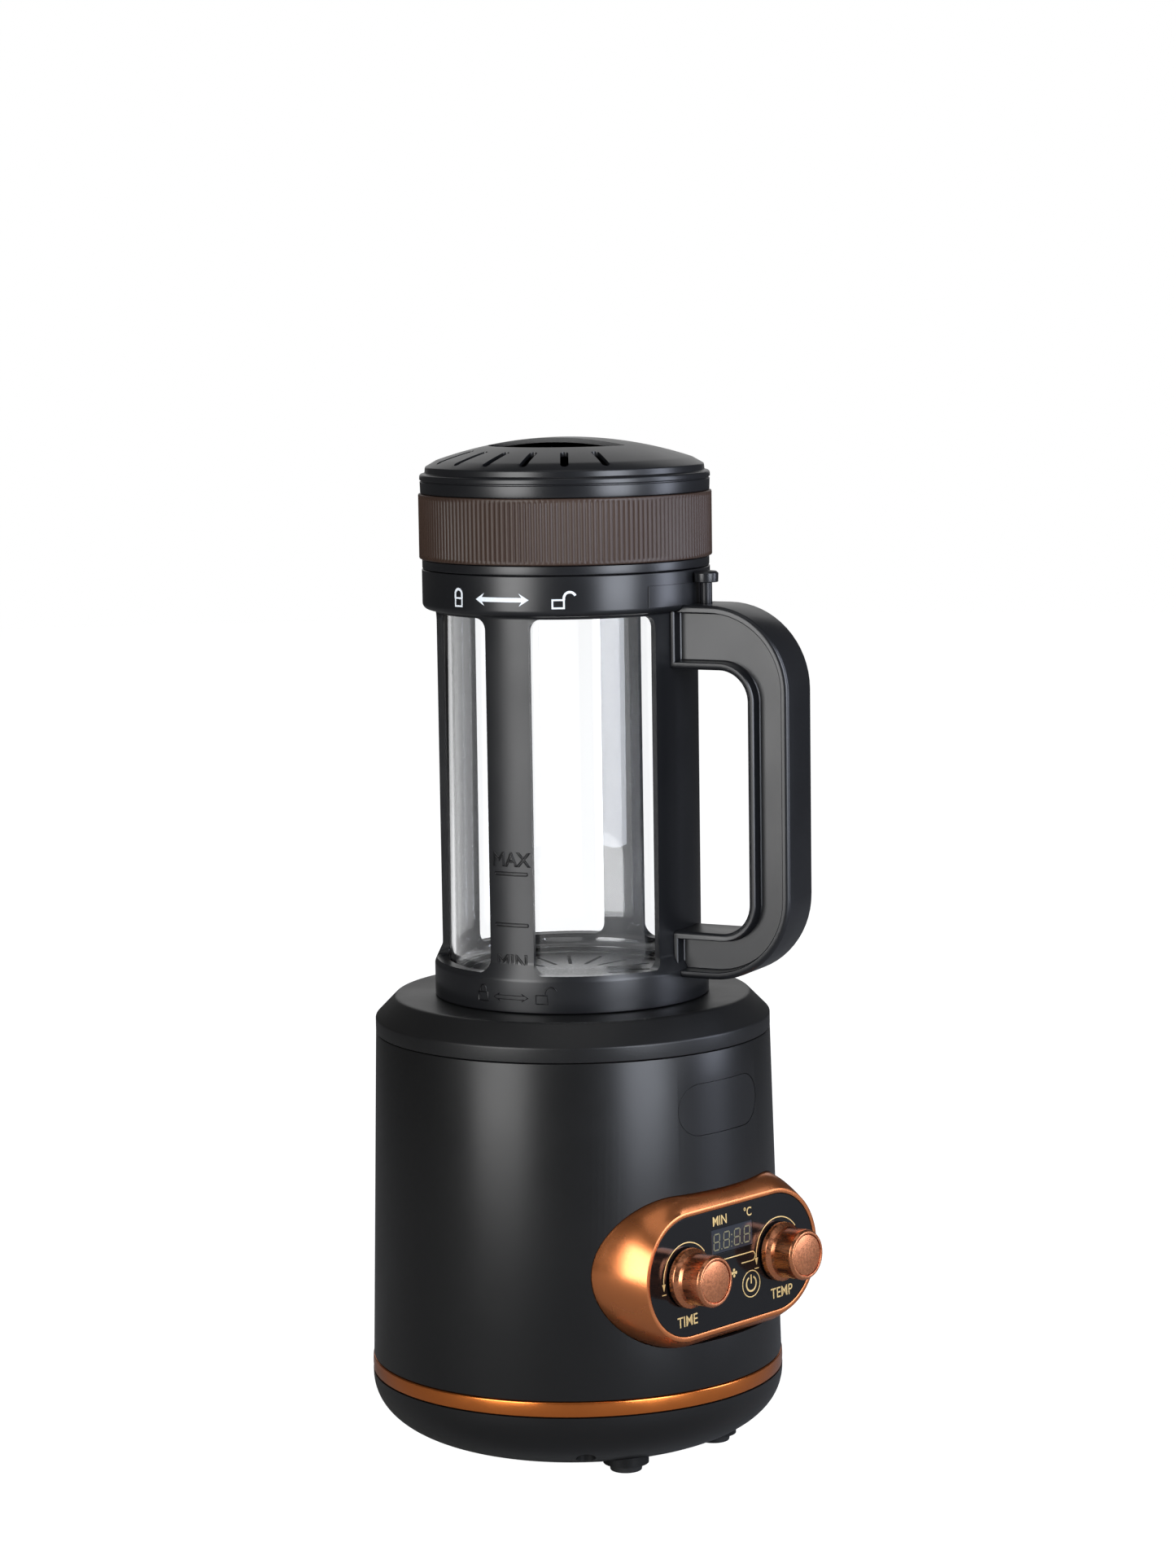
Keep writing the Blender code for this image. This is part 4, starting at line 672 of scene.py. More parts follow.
def makeBezel():
    steps = 48
    rim = panel["faceRadius"] + panel["rim"]
    outer = rim + panel["flare"]
    middle = 82.5 * mm + panel["rise"]

    def flatRing(radius, depth):
        return [panel["place"] @ Vector((x, depth, z)) for x,
                z in stadium(panel["halfStraight"], radius, steps)]

    def shellRing(radius, sink):
        ring = []
        for x, z in stadium(panel["halfStraight"], radius, steps):
            reach = shellRadius(z + middle) - sink
            ring.append(Vector((x, -math.sqrt(reach ** 2 - x ** 2), z + middle)))
        return ring

    front = flatRing(rim, 0)
    back = shellRing(outer, -0.2 * mm)
    soft = panel["rimRound"]
    flare = []
    for step in range(1, 9):  # the flank swells a little as it runs back to the shell
        share = step / 8
        swell = 0.9 * mm * math.sin(math.pi * share)
        ring = []
        for start, end, (x, z) in zip(front, back, stadium(panel["halfStraight"], 1, steps)):
            out = Vector((x - math.copysign(min(abs(x), panel["halfStraight"]), x), 0, z)).normalized()
            ring.append(start.lerp(end, share) + out * swell)
        flare.append(ring)
    flare[-1] = back
    crown = [flatRing(rim - soft, 0), flatRing(rim - soft * 0.3, soft * 0.25),
             flatRing(rim, soft * 0.9)]
    opening = panel["faceRadius"] + 0.2 * mm
    inside = [shellRing(outer, 4 * mm), shellRing(outer - 2.2 * mm, 4 * mm), flatRing(opening, 4 * mm),
              flatRing(opening, soft), flatRing(opening + soft * 0.3, soft * 0.2),
              flatRing(opening + soft, 0)]
    shape = loftLoops(crown + flare + inside)
    piece("controlBezel", shape, copperPaint, "base", ["control_bezel"], 28)


def makeFace():
    plate = pushed(stadium(panel["halfStraight"], panel["faceRadius"], 48), -2.2 * mm, -panel["sink"],
                   onFace())
    window = box((-12.2 * mm, 5.6 * mm, -3 * mm), (12.2 * mm, 15.4 * mm, 1 * mm), onFace())
    bores = [placed(turned([(0, -3 * mm), (3.5 * mm, -3 * mm), (3.5 * mm, 1 * mm), (0, 1 * mm)], 32),
                    onFace(side * 27.3 * mm))
             for side in (-1, 1)]
    shape = carved(plate, [("DIFFERENCE", window), ("DIFFERENCE", joined(bores))])
    softened(piece("controlFace", shape, panelBlack, "base", ["control_face"]),
             0.08 * mm)
    glass = edgeBevel(box((-12.1 * mm, 5.7 * mm, -7 * mm), (12.1 * mm, 15.3 * mm, -0.28 * mm)),
                      0.08 * mm, 1)
    piece("displayWindow", placed(glass, onFace()), displayGlass, "base", ["display_module"])


digits = {"height": 6.2 * mm, "width": 3.3 * mm, "stroke": 0.5 * mm,
          "centres": (-9.2 * mm, -3.4 * mm, 2.9 * mm, 8.8 * mm),
          "middle": 10.3 * mm, "colon": -0.3 * mm, "lift": -0.22 * mm, "gap": 0.18 * mm, "slant": 0.07}


def makeDigits():
    parts = []
    half = digits["height"] / 2
    side = digits["width"] / 2
    lean = Matrix.Identity(4)
    lean[0][1] = digits["slant"]
    thick = digits["stroke"] / 2

    def bar(x, y, length, upright):
        reach = length / 2 - digits["gap"]
        points = [(-reach, 0), (-reach + thick, -thick), (reach - thick, -thick), (reach, 0),
                  (reach - thick, thick), (-reach + thick, thick)]
        if upright:
            points = [(y0, x0) for x0, y0 in points][::-1]
        return pushed([(x + a, y + b) for a, b in points], 0, 0.05 * mm)

    for centre in digits["centres"]:
        bars = [bar(0, level, digits["width"], False) for level in (-half, 0, half)]
        bars += [bar(edge, level, half, True) for edge in (-side, side) for level in (-half / 2,
                                                                                      half / 2)]
        parts.append(placed(joined(bars), Matrix.Translation((centre, digits["middle"], 0)) @ lean))
    for level in (-1.4 * mm, 1.4 * mm):
        dot = turned([(0, 0), (0.32 * mm, 0), (0.32 * mm, 0.05 * mm), (0, 0.05 * mm)], 16)
        parts.append(placed(dot, Matrix.Translation((digits["colon"], digits["middle"] + level, 0))))
    for centre in digits["centres"][:3]:
        dot = turned([(0, 0), (0.28 * mm, 0), (0.28 * mm, 0.05 * mm), (0, 0.05 * mm)], 16)
        parts.append(placed(dot,
                            Matrix.Translation((centre + side + 1.1 * mm, digits["middle"] - half, 0))))
    piece("displaySegments", placed(joined(parts), onFace(0, 0, digits["lift"])), segmentInk, "base",
          ())


artwork = {"stroke": 0.42 * mm, "depth": 0.08 * mm, "lift": -0.17 * mm, "arcRadius": 13.5 * mm,
           "letters": 5.6 * mm,
           "bold": 0.03 * mm, "head": 0.95 * mm}


def makeArtwork():
    stroke, depth = artwork["stroke"], artwork["depth"]
    lift = onFace(0, 0, artwork["lift"])
    parts = []

    def word(text, size, x, y, squeeze=0.86):
        parts.append(lettering(text, size, depth, lift @ Matrix.Translation((x, y, 0)), artwork["bold"],
                               squeeze))

    word("TIME", artwork["letters"] * 1.06, -28.0 * mm, -17.0 * mm, 0.93)
    word("TEMP", artwork["letters"] * 1.06, 28.2 * mm, -16.6 * mm, 0.93)
    word("MIN", artwork["letters"] * 0.96, -7.0 * mm, 18.4 * mm, 0.9)
    word("°C", artwork["letters"] * 0.88, 9.6 * mm, 18.7 * mm, 0.9)
    for side in (-1, 1):
        middle = side * panel["knobSpacing"] / 2
        parts.append(line(arcPoints((middle, 0), artwork["arcRadius"], 38, 180, 30), stroke, depth,
                          lift))
        tip = middle - artwork["arcRadius"]
        head = artwork["head"]
        arrow = [(tip - head, -0.2 * mm), (tip, -3.0 * mm), (tip + head, -0.2 * mm)]
        parts.append(pushed(arrow, -depth / 2, depth / 2, lift))
        parts.append(line([(tip - 1.2 * mm, -4.3 * mm), (tip + 1.2 * mm, -4.3 * mm)], stroke, depth,
                          lift))
    turn = arcPoints((11.4 * mm, 1.05 * mm), 1.75 * mm, 90, -90, 14)
    parts.append(line([(-17 * mm, 2.8 * mm)] + turn + [(4.8 * mm, -0.7 * mm)], stroke, depth, lift))
    power = (10.2 * mm, -9.8 * mm)
    parts.append(line(arcPoints(power, 5.2 * mm, 0, 360, 48)[:-1], stroke, depth, lift, True))
    parts.append(line(arcPoints(power, 2.9 * mm, 118, 422, 30), stroke * 1.7, depth, lift))
    parts.append(line([(power[0], power[1] + 0.1 * mm), (power[0], power[1] + 3.6 * mm)], stroke * 1.7,
                      depth, lift))
    hub = (0.2 * mm, -3.6 * mm)
    for index in range(4):  # fan sign
        petal = pushed([(point[0], point[1]) for point in arcPoints((0, 1.15 * mm), 0.62 * mm, 0, 360,
                                                                    12)[:-1]], -depth / 2, depth / 2,
                       Matrix.Translation((*hub, 0)) @ Matrix.Rotation(math.pi / 2 * index, 4, "Z"))
        parts.append(placed(petal, lift))
        parts.append(line([hub,
                           (hub[0] + 0.9 * mm * math.cos(math.pi / 2 * index),
                            hub[1] + 0.9 * mm * math.sin(math.pi / 2 * index))],
                          stroke * 0.9, depth, lift))
    piece("panelPrint", joined(parts), goldInk, "base", (), 50)


knobLook = {"flange": 11.7 * mm, "flangeHeight": 2.4 * mm, "waist": 9.75 * mm, "tip": 9.95 * mm,
            "length": 14.2 * mm,
            "start": 0.5 * mm, "cap": 8.0 * mm, "capSink": 0.25 * mm}


def makeKnob(name, side):
    k = knobLook
    end = k["start"] + k["length"]
    outline = [(3.3 * mm, k["start"], 0), (k["flange"] - 0.3 * mm, k["start"], 0.2 * mm),
               (k["flange"], k["start"] + 0.8 * mm, 0.6 * mm),
               (k["flange"] - 0.2 * mm, k["start"] + k["flangeHeight"], 0.5 * mm),
               (k["waist"] + 0.35 * mm, k["start"] + k["flangeHeight"] + 1.5 * mm, 0.9 * mm),
               (k["waist"], k["start"] + 5.4 * mm, 1.6 * mm), (k["tip"], end - 1.1 * mm, 0.5 * mm),
               (k["tip"] - 0.75 * mm, end, 0.35 * mm),
               (k["cap"] + 0.25 * mm, end, 0.12 * mm), (k["cap"] + 0.25 * mm, end - 1.5 * mm, 0),
               (0, end - 1.5 * mm, 0),
               (0, 11.8 * mm, 0), (3.3 * mm, 11.8 * mm, 0)]
    place = onFace(side * panel["knobSpacing"] / 2)
    body = f"{name}_dial"
    piece(f"{name}Knob", placed(turned(rounded(outline, 5), 96), place), copperMetal, body,
          [f"{name}_knob"], 30)
    low, high = end - 1.3 * mm, end - k["capSink"]
    cap = rounded([(0, low, 0), (k["cap"], low, 0), (k["cap"], high, 0.2 * mm),
                   (0, high + 0.05 * mm, 0)], 4)
    piece(f"{name}KnobCap", placed(turned(cap, 96), place), copperMetal, body, [f"{name}_knob_cap"],
          30)


makeBezel()
makeFace()
makeDigits()
makeArtwork()
makeKnob("time", -1)
makeKnob("temp", 1)
print("panel made")


# jar
jarLook = {"foot": 54.6 * mm, "body": 51.8 * mm, "head": 56.8 * mm, "wall": 2.6 * mm,
           "windowCorner": 4.6 * mm, "edge": 0.45 * mm,
           "postAngle": -74, "postWidth": 21.0, "rearTurn": 5.6, "rearWidth": 32.2, "handleAngle": 16,
           "strapWidth": 43.5, "shoulder": 335.2 * mm, "button": 60.8 * mm, "base": 47 * mm,
           "spigot": 43 * mm, "shelf": 37 * mm, "throat": 49.2 * mm, "mouth": 52.6 * mm,
           "lidGroove": 54.6 * mm, "floor": 184.8 * mm, "grooveLow": 341.2 * mm}
cageLow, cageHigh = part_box("cage_frame")
deckTop = deckHigh.z
jarFoot = deckTop + 0.3 * mm
windowLow, windowHigh = 195.9 * mm, 334.0 * mm


def cageProfile():
    j = jarLook
    return [(j["foot"], jarFoot, 0.5 * mm), (j["foot"], jarFoot + 12.8 * mm, 3.2 * mm),
            (j["body"], jarFoot + 19 * mm, 3.2 * mm),
            (j["body"], j["shoulder"], 1.2 * mm), (j["head"], j["shoulder"], 2.5 * mm)]


def windowPlaces():
    j = jarLook
    edges = [(j["handleAngle"], j["strapWidth"]), (j["postAngle"] + 180, j["postWidth"]),
             (j["postAngle"] + 270 + j["rearTurn"], j["rearWidth"]),
             (j["postAngle"] + 360, j["postWidth"])]
    places = []
    for (here, hereWidth), (there, thereWidth) in zip(edges, edges[1:] + edges[:1]):
        start, end = here + hereWidth / 2, there - thereWidth / 2
        end += 360 if end < start else 0
        places.append(((start + end) / 2, end - start))
    return places


def bentWindow(middle, width):
    j = jarLook
    inner, outer = j["body"] - j["wall"] - 2 * mm, j["body"] + 2 * mm
    halfWidth = math.radians(width / 2) * j["body"]
    halfHeight = (windowHigh - windowLow) / 2
    corners = [(-halfWidth, -halfHeight, j["windowCorner"]),
               (halfWidth, -halfHeight, j["windowCorner"]),
               (halfWidth, halfHeight, j["windowCorner"]), (-halfWidth, halfHeight, j["windowCorner"])]
    outline = rounded(corners, 8)
    bm = pushed(outline, inner - j["body"], outer - j["body"])
    for cut in range(-9, 10):  # columns, so that it bends smoothly
        bmesh.ops.bisect_plane(bm, geom=bm.verts[:] + bm.edges[:] + bm.faces[:],
                               plane_co=(halfWidth * cut / 10, 0, 0), plane_no=(1, 0, 0))
    for vert in bm.verts:
        x, y, z = vert.co
        vert.co = direction(middle + math.degrees(x / j["body"])) * (j["body"] + z) + Vector((0, 0,
                                                                                              (windowLow + windowHigh) / 2 + y))
    bmesh.ops.recalc_face_normals(bm, faces=bm.faces)
    return bm


def makeCage():
    j = jarLook
    low = cageLow.z
    floor = j["floor"]
    ledge = floor + 3 * mm
    top = cageHigh.z
    outline = [(j["base"], low, 0.5 * mm), (j["base"], jarFoot, 0)] + cageProfile()
    outline += [(j["head"], top, 0.5 * mm), (j["mouth"], top, 0.3 * mm), (j["mouth"], top - 4.5 * mm, 0),
                (j["lidGroove"], top - 4.5 * mm, 0), (j["lidGroove"], j["grooveLow"], 0),
                (j["throat"], j["grooveLow"], 0.3 * mm), (j["throat"], ledge, 0),
                (j["shelf"], ledge, 0.4 * mm), (j["shelf"], floor, 0), (j["spigot"], floor, 0),
                (j["spigot"], low, 0.4 * mm)]

    def entry():
        half = math.radians(11) * 54 * mm
        return box((50 * mm, -half, top - 5.5 * mm), (54.5 * mm, half, top + 1 * mm))

    def lug():
        half = math.radians(8) * 49 * mm
        return edgeBevel(box((45.5 * mm, -half, low + 3 * mm), (50.6 * mm, half, low + 7.2 * mm)),
                         0.3 * mm)

    lugs = aroundAxis(lug, jarLugAngles)
    windows = joined([bentWindow(middle, width) for middle, width in windowPlaces()])
    entries = aroundAxis(entry, lidLugAngles)
    shape = carved(turned(rounded(outline, 7), 180),
                   [("DIFFERENCE", windows), ("DIFFERENCE", entries), ("UNION", lugs)])
    softened(piece("cageFrame", shape, satinBlack, "jar", ["cage_frame"]),
             j["edge"], 3, 38)


marks = {"line": 0.56 * mm, "letters": 5.6 * mm, "lineWidth": 14.2 * mm}


def outlineOnly(text, size):
    curve = bpy.data.curves.new("outlineText", "FONT")
    curve.body, curve.size, curve.fill_mode = text, size, "NONE"
    curve.bevel_depth, curve.bevel_resolution, curve.resolution_u = marks["line"] / 2, 1, 3
    curve.align_x, curve.align_y = "CENTER", "CENTER"
    return curveMesh(curve, Matrix.Identity(4))


def lockOutline(isOpen):
    height, half = 3.4 * mm, 2.3 * mm
    body = [(-half, -height), (half, -height), (half, 0), (-half, 0)]
    if isOpen:
        shackle = [(half - 0.9 * mm, 0),
                   (half - 0.9 * mm, 0.7 * mm)] + arcPoints((half + 1.4 * mm, 0.9 * mm), 2.3 * mm, 170,
                                                            20, 12)
    else:
        shackle = [(-1.4 * mm, 0), (-1.4 * mm, 1.4 * mm)] + arcPoints((0, 1.4 * mm), 1.4 * mm, 180, 0,
                                                                      10) + [(1.4 * mm, 0)]
    return body, shackle


def doubleArrow(length, shaft, head):
    half = length / 2
    return [(-half, 0), (-half + head, head * 0.62), (-half + head * 0.72, shaft),
            (half - head * 0.72, shaft), (half - head, head * 0.62),
            (half, 0), (half - head, -head * 0.62), (half - head * 0.72, -shaft),
            (-half + head * 0.72, -shaft), (-half + head, -head * 0.62)]


def makeLevelMarks():
    radius = jarLook["body"]
    post = jarLook["postAngle"] + 0.4
    flat = Matrix.Identity(4)
    parts = []
    for text, height in (("MAX", 240.7 * mm), ("MIN", 200.8 * mm)):
        parts.append(wrappedOn(outlineOnly(text, marks["letters"] * 1.34), radius, post, height))
    for height in (235.4 * mm, 215.4 * mm, 195.3 * mm):
        half = marks["lineWidth"] / 2
        bar = rounded([(-half, -0.55 * mm, 0.5 * mm), (half, -0.55 * mm, 0.5 * mm),
                       (half, 0.55 * mm, 0.5 * mm), (-half, 0.55 * mm, 0.5 * mm)], 4)
        spot = radius if height > 200 * mm else radius + 1.1 * mm
        parts.append(wrappedOn(line(bar, marks["line"], marks["line"], flat, True), spot, post, height))
    foot = jarLook["foot"]
    height = 187.6 * mm
    for angle, isOpen in ((-86.3, False), (-59.6, True)):
        body, shackle = lockOutline(isOpen)
        parts.append(wrappedOn(line(body, marks["line"], marks["line"], flat, True), foot, angle,
                               height + 1.2 * mm))
        parts.append(wrappedOn(line(shackle, marks["line"], marks["line"], flat), foot, angle,
                               height + 1.2 * mm))
    arrow = doubleArrow(14.6 * mm, 0.75 * mm, 2.5 * mm)
    parts.append(wrappedOn(line(arrow, marks["line"], marks["line"], flat, True), foot, -73.1,
                           height - 0.1 * mm))
    # the marks' darker colour is painted shade of their embossed outlines, not a different plastic
    piece("raisedMarks", joined(parts), markPaintedShade, "jar", (), 60)


def makeLockPrint():
    radius = jarLook["head"] + 0.02 * mm
    height = 341.9 * mm
    depth = 0.06 * mm
    thin = 0.95 * mm
    parts = [wrappedOn(pushed(doubleArrow(22.8 * mm, 0.85 * mm, 4.0 * mm), -depth / 2, depth / 2),
                       radius, -73.2, height)]
    for angle, isOpen in ((-93.9, False), (-50.2, True)):
        half = 1.85 * mm if not isOpen else 2.2 * mm
        body = [(-half, -3.1 * mm), (half, -3.1 * mm), (half, 0), (-half, 0)]
        parts.append(wrappedOn(line(body, thin, depth, Matrix.Identity(4), True), radius, angle,
                               height))
        if isOpen:
            shackle = [(half, 0), (half, 0.5 * mm)] + arcPoints((half + 2.3 * mm, 0.7 * mm), 2.3 * mm,
                                                                180, 25, 12)
        else:
            shackle = [(-half, 0), (-half, 1.6 * mm)] + arcPoints((0, 1.6 * mm), half, 180, 0,
                                                                  12) + [(half, 0)]
        parts.append(wrappedOn(line(shackle, thin, depth, Matrix.Identity(4)), radius, angle, height))
    piece("lockPrint", joined(parts), whiteInk, "jar", (), 60)


def makeRail():
    radius = jarLook["head"]
    low, high = 337.5 * mm, 346.0 * mm
    band = turned([(radius - 1 * mm, low), (radius + 0.35 * mm, low), (radius + 0.35 * mm, high),
                   (radius - 1 * mm, high)], 180)
    half = 29.5
    reach = 90 * mm
    wedge = pushed([(0, 0), (reach, -reach * math.tan(math.radians(half))),
                    (reach, reach * math.tan(math.radians(half)))],
                   0, 0.4, toAngle(jarLook["handleAngle"]))
    shape = carved(band, [("INTERSECT", wedge)])
    softened(piece("handlePad", shape, satinBlack, "jar", ()), 0.15 * mm)


handleLook = {"width": 23.1 * mm, "reach": 100 * mm, "top": 337.6 * mm, "bottom": 191.6 * mm,
              "upperArm": 25 * mm, "lowerArm": 18.3 * mm,
              "grip": 17.3 * mm, "corner": 33 * mm, "handCorner": 12 * mm, "rim": 2.0 * mm,
              "recess": 5.2 * mm, "edge": 1.7 * mm}


def handleOutline():
    h = handleLook
    inside = 49.4 * mm
    inner, high, low = h["reach"] - h["grip"], h["top"] - h["upperArm"], h["bottom"] + h["lowerArm"]
    return [(inside, h["top"], 0), (h["reach"], h["top"], h["corner"]),
            (h["reach"], h["bottom"], h["corner"]),
            (inside, h["bottom"], 0), (inside, low, 0), (inner, low, h["handCorner"]),
            (inner, high, h["handCorner"]),
            (inside, high, 0)]


def makeHandle():
    h = handleLook
    half = h["width"] / 2
    outline = [Vector(point) for point in rounded(handleOutline(), 16)]
    bm = pushed([tuple(point) for point in outline], -half, half)
    caps = [face for face in bm.faces if len(face.verts) > 6]
    rims = list({edge for face in caps for edge in face.edges})
    bmesh.ops.bevel(bm, geom=rims, affect="EDGES", offset=h["edge"], segments=4, profile=0.5,
                    material=-1, clamp_overlap=True)
    caps = [face for face in bm.faces if len(face.verts) > 6]
    bmesh.ops.inset_region(bm, faces=caps, thickness=h["rim"] * 0.45, depth=0, use_even_offset=True)
    lip = 0.35 * mm
    bmesh.ops.inset_region(bm, faces=caps, thickness=lip, depth=-lip, use_even_offset=True)
    bmesh.ops.inset_region(bm, faces=caps, thickness=0.35 * mm, depth=-h["recess"] + 2 * lip,
                           use_even_offset=True)
    bmesh.ops.inset_region(bm, faces=caps, thickness=lip, depth=-lip, use_even_offset=True)
    placed(bm, toAngle(jarLook["handleAngle"]) @ Matrix.Rotation(math.pi / 2, 4, "X"))
    gap = 0.25 * mm
    saddle = [(0, 175 * mm, 0), (jarLook["foot"] + gap, 175 * mm, 0)]
    saddle += [(radius + gap, height - (gap if height > 300 * mm else 0), soft) for radius, height,
               soft in cageProfile()[1:]]
    saddle += [(jarLook["head"] + gap, 360 * mm, 0), (0, 360 * mm, 0)]
    bore = turned([(0, 324.6 * mm), (2.9 * mm, 324.6 * mm), (2.9 * mm, 345 * mm), (0, 345 * mm)], 40)
    placed(bore, Matrix.Translation(direction(jarLook["handleAngle"]) * jarLook["button"]))
    shape = carved(bm, [("DIFFERENCE", turned(rounded(saddle, 6), 180)), ("DIFFERENCE", bore)])
    piece("jarHandle", shape, satinBlack, "jar", ["jar_handle"], 38)


def makeButton():
    low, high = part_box("lid_lock_button")
    cap, stem = 4.9 * mm, 2.4 * mm
    capLow = high.z - 4.3 * mm
    outline = rounded([(0, low.z, 0), (stem, low.z, 0.4 * mm), (stem, capLow, 0.3 * mm),
                       (cap - 0.1 * mm, capLow, 0.3 * mm),
                       (cap, high.z - 0.8 * mm, 0.5 * mm), (cap - 0.9 * mm, high.z, 0.7 * mm),
                       (0, high.z, 0)], 4)
    shape = placed(turned(outline, 64),
                   Matrix.Translation(direction(jarLook["handleAngle"]) * jarLook["button"]))
    wayRadius = jarLook["head"] + 0.45 * mm
    way = turned([(20 * mm, 344 * mm), (wayRadius, 344 * mm), (wayRadius, 352 * mm),
                  (20 * mm, 352 * mm)], 180)
    piece("lockButton", carved(shape, [("DIFFERENCE", way)]), satinBlack, "button", ["lid_lock_button"],
          30)


springLook = {"turns": 4, "wire": 0.35 * mm, "stroke": 3.2 * mm, "steps": 28, "sides": 10}


def makeSpring():  # a round wire wound up the button's well
    k = springLook
    low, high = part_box("button_spring")
    wound = (high.x - low.x) / 2 - k["wire"]
    base, top = low.z + k["wire"], high.z - k["wire"]
    last = k["turns"] * k["steps"]
    bm = bmesh.new()
    rings = []
    for index in range(last + 1):
        turn = math.tau * index / k["steps"]
        out = Vector((math.cos(turn), math.sin(turn), 0))
        middle = out * wound + Vector((0, 0, base + (top - base) * index / last))
        around = [math.tau * side / k["sides"] for side in range(k["sides"])]
        rings.append([bm.verts.new(middle + (out * math.cos(a) + Vector((0, 0,
                                                                         math.sin(a)))) * k["wire"]) for a in around])
    for first, second in zip(rings, rings[1:]):
        for side in range(k["sides"]):
            after = (side + 1) % k["sides"]
            bm.faces.new((first[side], second[side], second[after], first[after]))
    bm.faces.new(rings[0])
    bm.faces.new(reversed(rings[-1]))
    bmesh.ops.recalc_face_normals(bm, faces=bm.faces)
    middle = (low + high) / 2
    placed(bm, Matrix.Translation((middle.x, middle.y, 0)))
    spring = piece("buttonSpring", bm, plainSteel, "button", ["button_spring"], 40)
    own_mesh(spring)


def makeGlass():
    low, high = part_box("glass_chamber")
    outer, inner = high.x, high.x - 2.2 * mm
    outline = rounded([(inner - 3 * mm, low.z, 0.6 * mm), (outer, low.z, 5 * mm),
                       (outer, high.z, 1.0 * mm), (inner, high.z, 1.0 * mm),
                       (inner, low.z + 2.2 * mm, 2.9 * mm),
                       (inner - 3 * mm, low.z + 2.2 * mm, 0.6 * mm)], 8)
    piece("glassChamber", turned(outline, 192), chamberGlass, "jar", ["glass_chamber"],
          60)


def makeDistributor():
    low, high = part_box("air_distributor")
    plate = rounded([(0, low.z, 0), (high.x, low.z, 0.3 * mm), (high.x, high.z, 0.3 * mm),
                     (0, high.z, 0)], 3)

    def slot():
        return pushed(stadium(8.9 * mm, 0.8 * mm, 6), low.z - 1 * mm, high.z + 1 * mm,
                      Matrix.Translation((24.8 * mm, 0, 0)))

    shape = carved(turned(plate, 96),
                   [("DIFFERENCE", aroundAxis(slot, [22.5 * index for index in range(16)]))])
    piece("airDistributor", shape, darkSteel, "jar", ["air_distributor"], 30)


makeCage()
makeLevelMarks()
makeLockPrint()
makeRail()
makeHandle()
makeButton()
makeSpring()
makeGlass()
makeDistributor()
print("jar made")


# lid
lidLook = {"collar": 56.6 * mm, "core": 53.0 * mm, "ribs": 170, "ribDepth": 0.42 * mm,
           "ribBorder": 1.3 * mm, "crown": 155.6 * mm,
           "wall": 1.8 * mm, "outlet": 30 * mm, "chord": 5.5 * mm,
           "outletAngle": -74, "ventPitch": 18.0,
           "ventCount": 6, "ventFrom": 37 * mm, "ventTo": 52.2 * mm, "ventWidth": 3.15 * mm,
           "coreBore": 49.6 * mm, "spigot": 52.2 * mm, "neck": 50.8 * mm, "edge": 391.2 * mm,
           "pocket": 52.1 * mm, "pocketTop": 387.8 * mm, "pocketLow": 385.1 * mm}
coreLow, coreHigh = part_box("lid_core_ring")
gripLow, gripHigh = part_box("grip_ring")
domeLow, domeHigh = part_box("lid_dome")


def makeCore():
    collarLow = cageHigh.z + 0.3 * mm
    collarHigh = gripLow.z - 0.3 * mm
    outline = [(lidLook["coreBore"], coreLow.z, 0.4 * mm), (lidLook["spigot"], coreLow.z, 0.3 * mm),
               (lidLook["spigot"], collarLow, 0), (lidLook["collar"], collarLow, 0.4 * mm),
               (lidLook["collar"], collarHigh, 0.3 * mm), (lidLook["core"], collarHigh, 0),
               (lidLook["core"], coreHigh.z, 0.3 * mm),
               (lidLook["neck"], coreHigh.z, 0.3 * mm), (lidLook["neck"], collarHigh, 0),
               (lidLook["coreBore"], collarHigh, 0)]

    def lug():
        half = math.radians(9) * 53 * mm
        high = cageHigh.z - 4.8 * mm
        return edgeBevel(box((51 * mm, -half, high - 2.2 * mm), (53.6 * mm, half, high)), 0.25 * mm)

    shape = carved(turned(rounded(outline, 4)),
                   [("UNION", aroundAxis(lug, lidLugAngles))])
    piece("lidCore", shape, satinBlack, "lid", ["lid_core_ring"], 30)


def makeGrip():
    radius = gripHigh.x
    low, high = gripLow.z, gripHigh.z
    inner = lidLook["core"] + 0.3 * mm
    border = lidLook["ribBorder"]
    valley = radius - lidLook["ribDepth"]
    fade = 0.5 * mm
    outline = [(inner, low), (radius - 0.6 * mm, low), (radius - 0.15 * mm, low + 0.18 * mm),
               (radius, low + 0.6 * mm), (radius, low + border),
               (valley, low + border + fade), (valley, high - border - fade), (radius, high - border),
               (radius, high - 0.6 * mm),
               (radius - 0.15 * mm, high - 0.18 * mm), (radius - 0.6 * mm, high), (inner, high)]
    perRib = 6
    bm = turned(outline, lidLook["ribs"] * perRib)
    pitch = math.tau / lidLook["ribs"]
    for vert in bm.verts:  # lifts the rib crowns out of the valley surface
        if low + border < vert.co.z < high - border and vert.co.xy.length > inner + 1 * mm:
            phase = (math.atan2(vert.co.y, vert.co.x) % pitch) / pitch
            crown = max(0.0, math.sin(math.pi * phase)) ** 0.7
            reach = valley + lidLook["ribDepth"] * 0.96 * crown
            vert.co.xy = vert.co.xy.normalized() * reach
    piece("gripRing", bm, gripBrown, "lid", ["grip_ring"], 50)


def crownHeight(radius):
    return domeHigh.z - (lidLook["crown"] - math.sqrt(lidLook["crown"] ** 2 - radius ** 2))


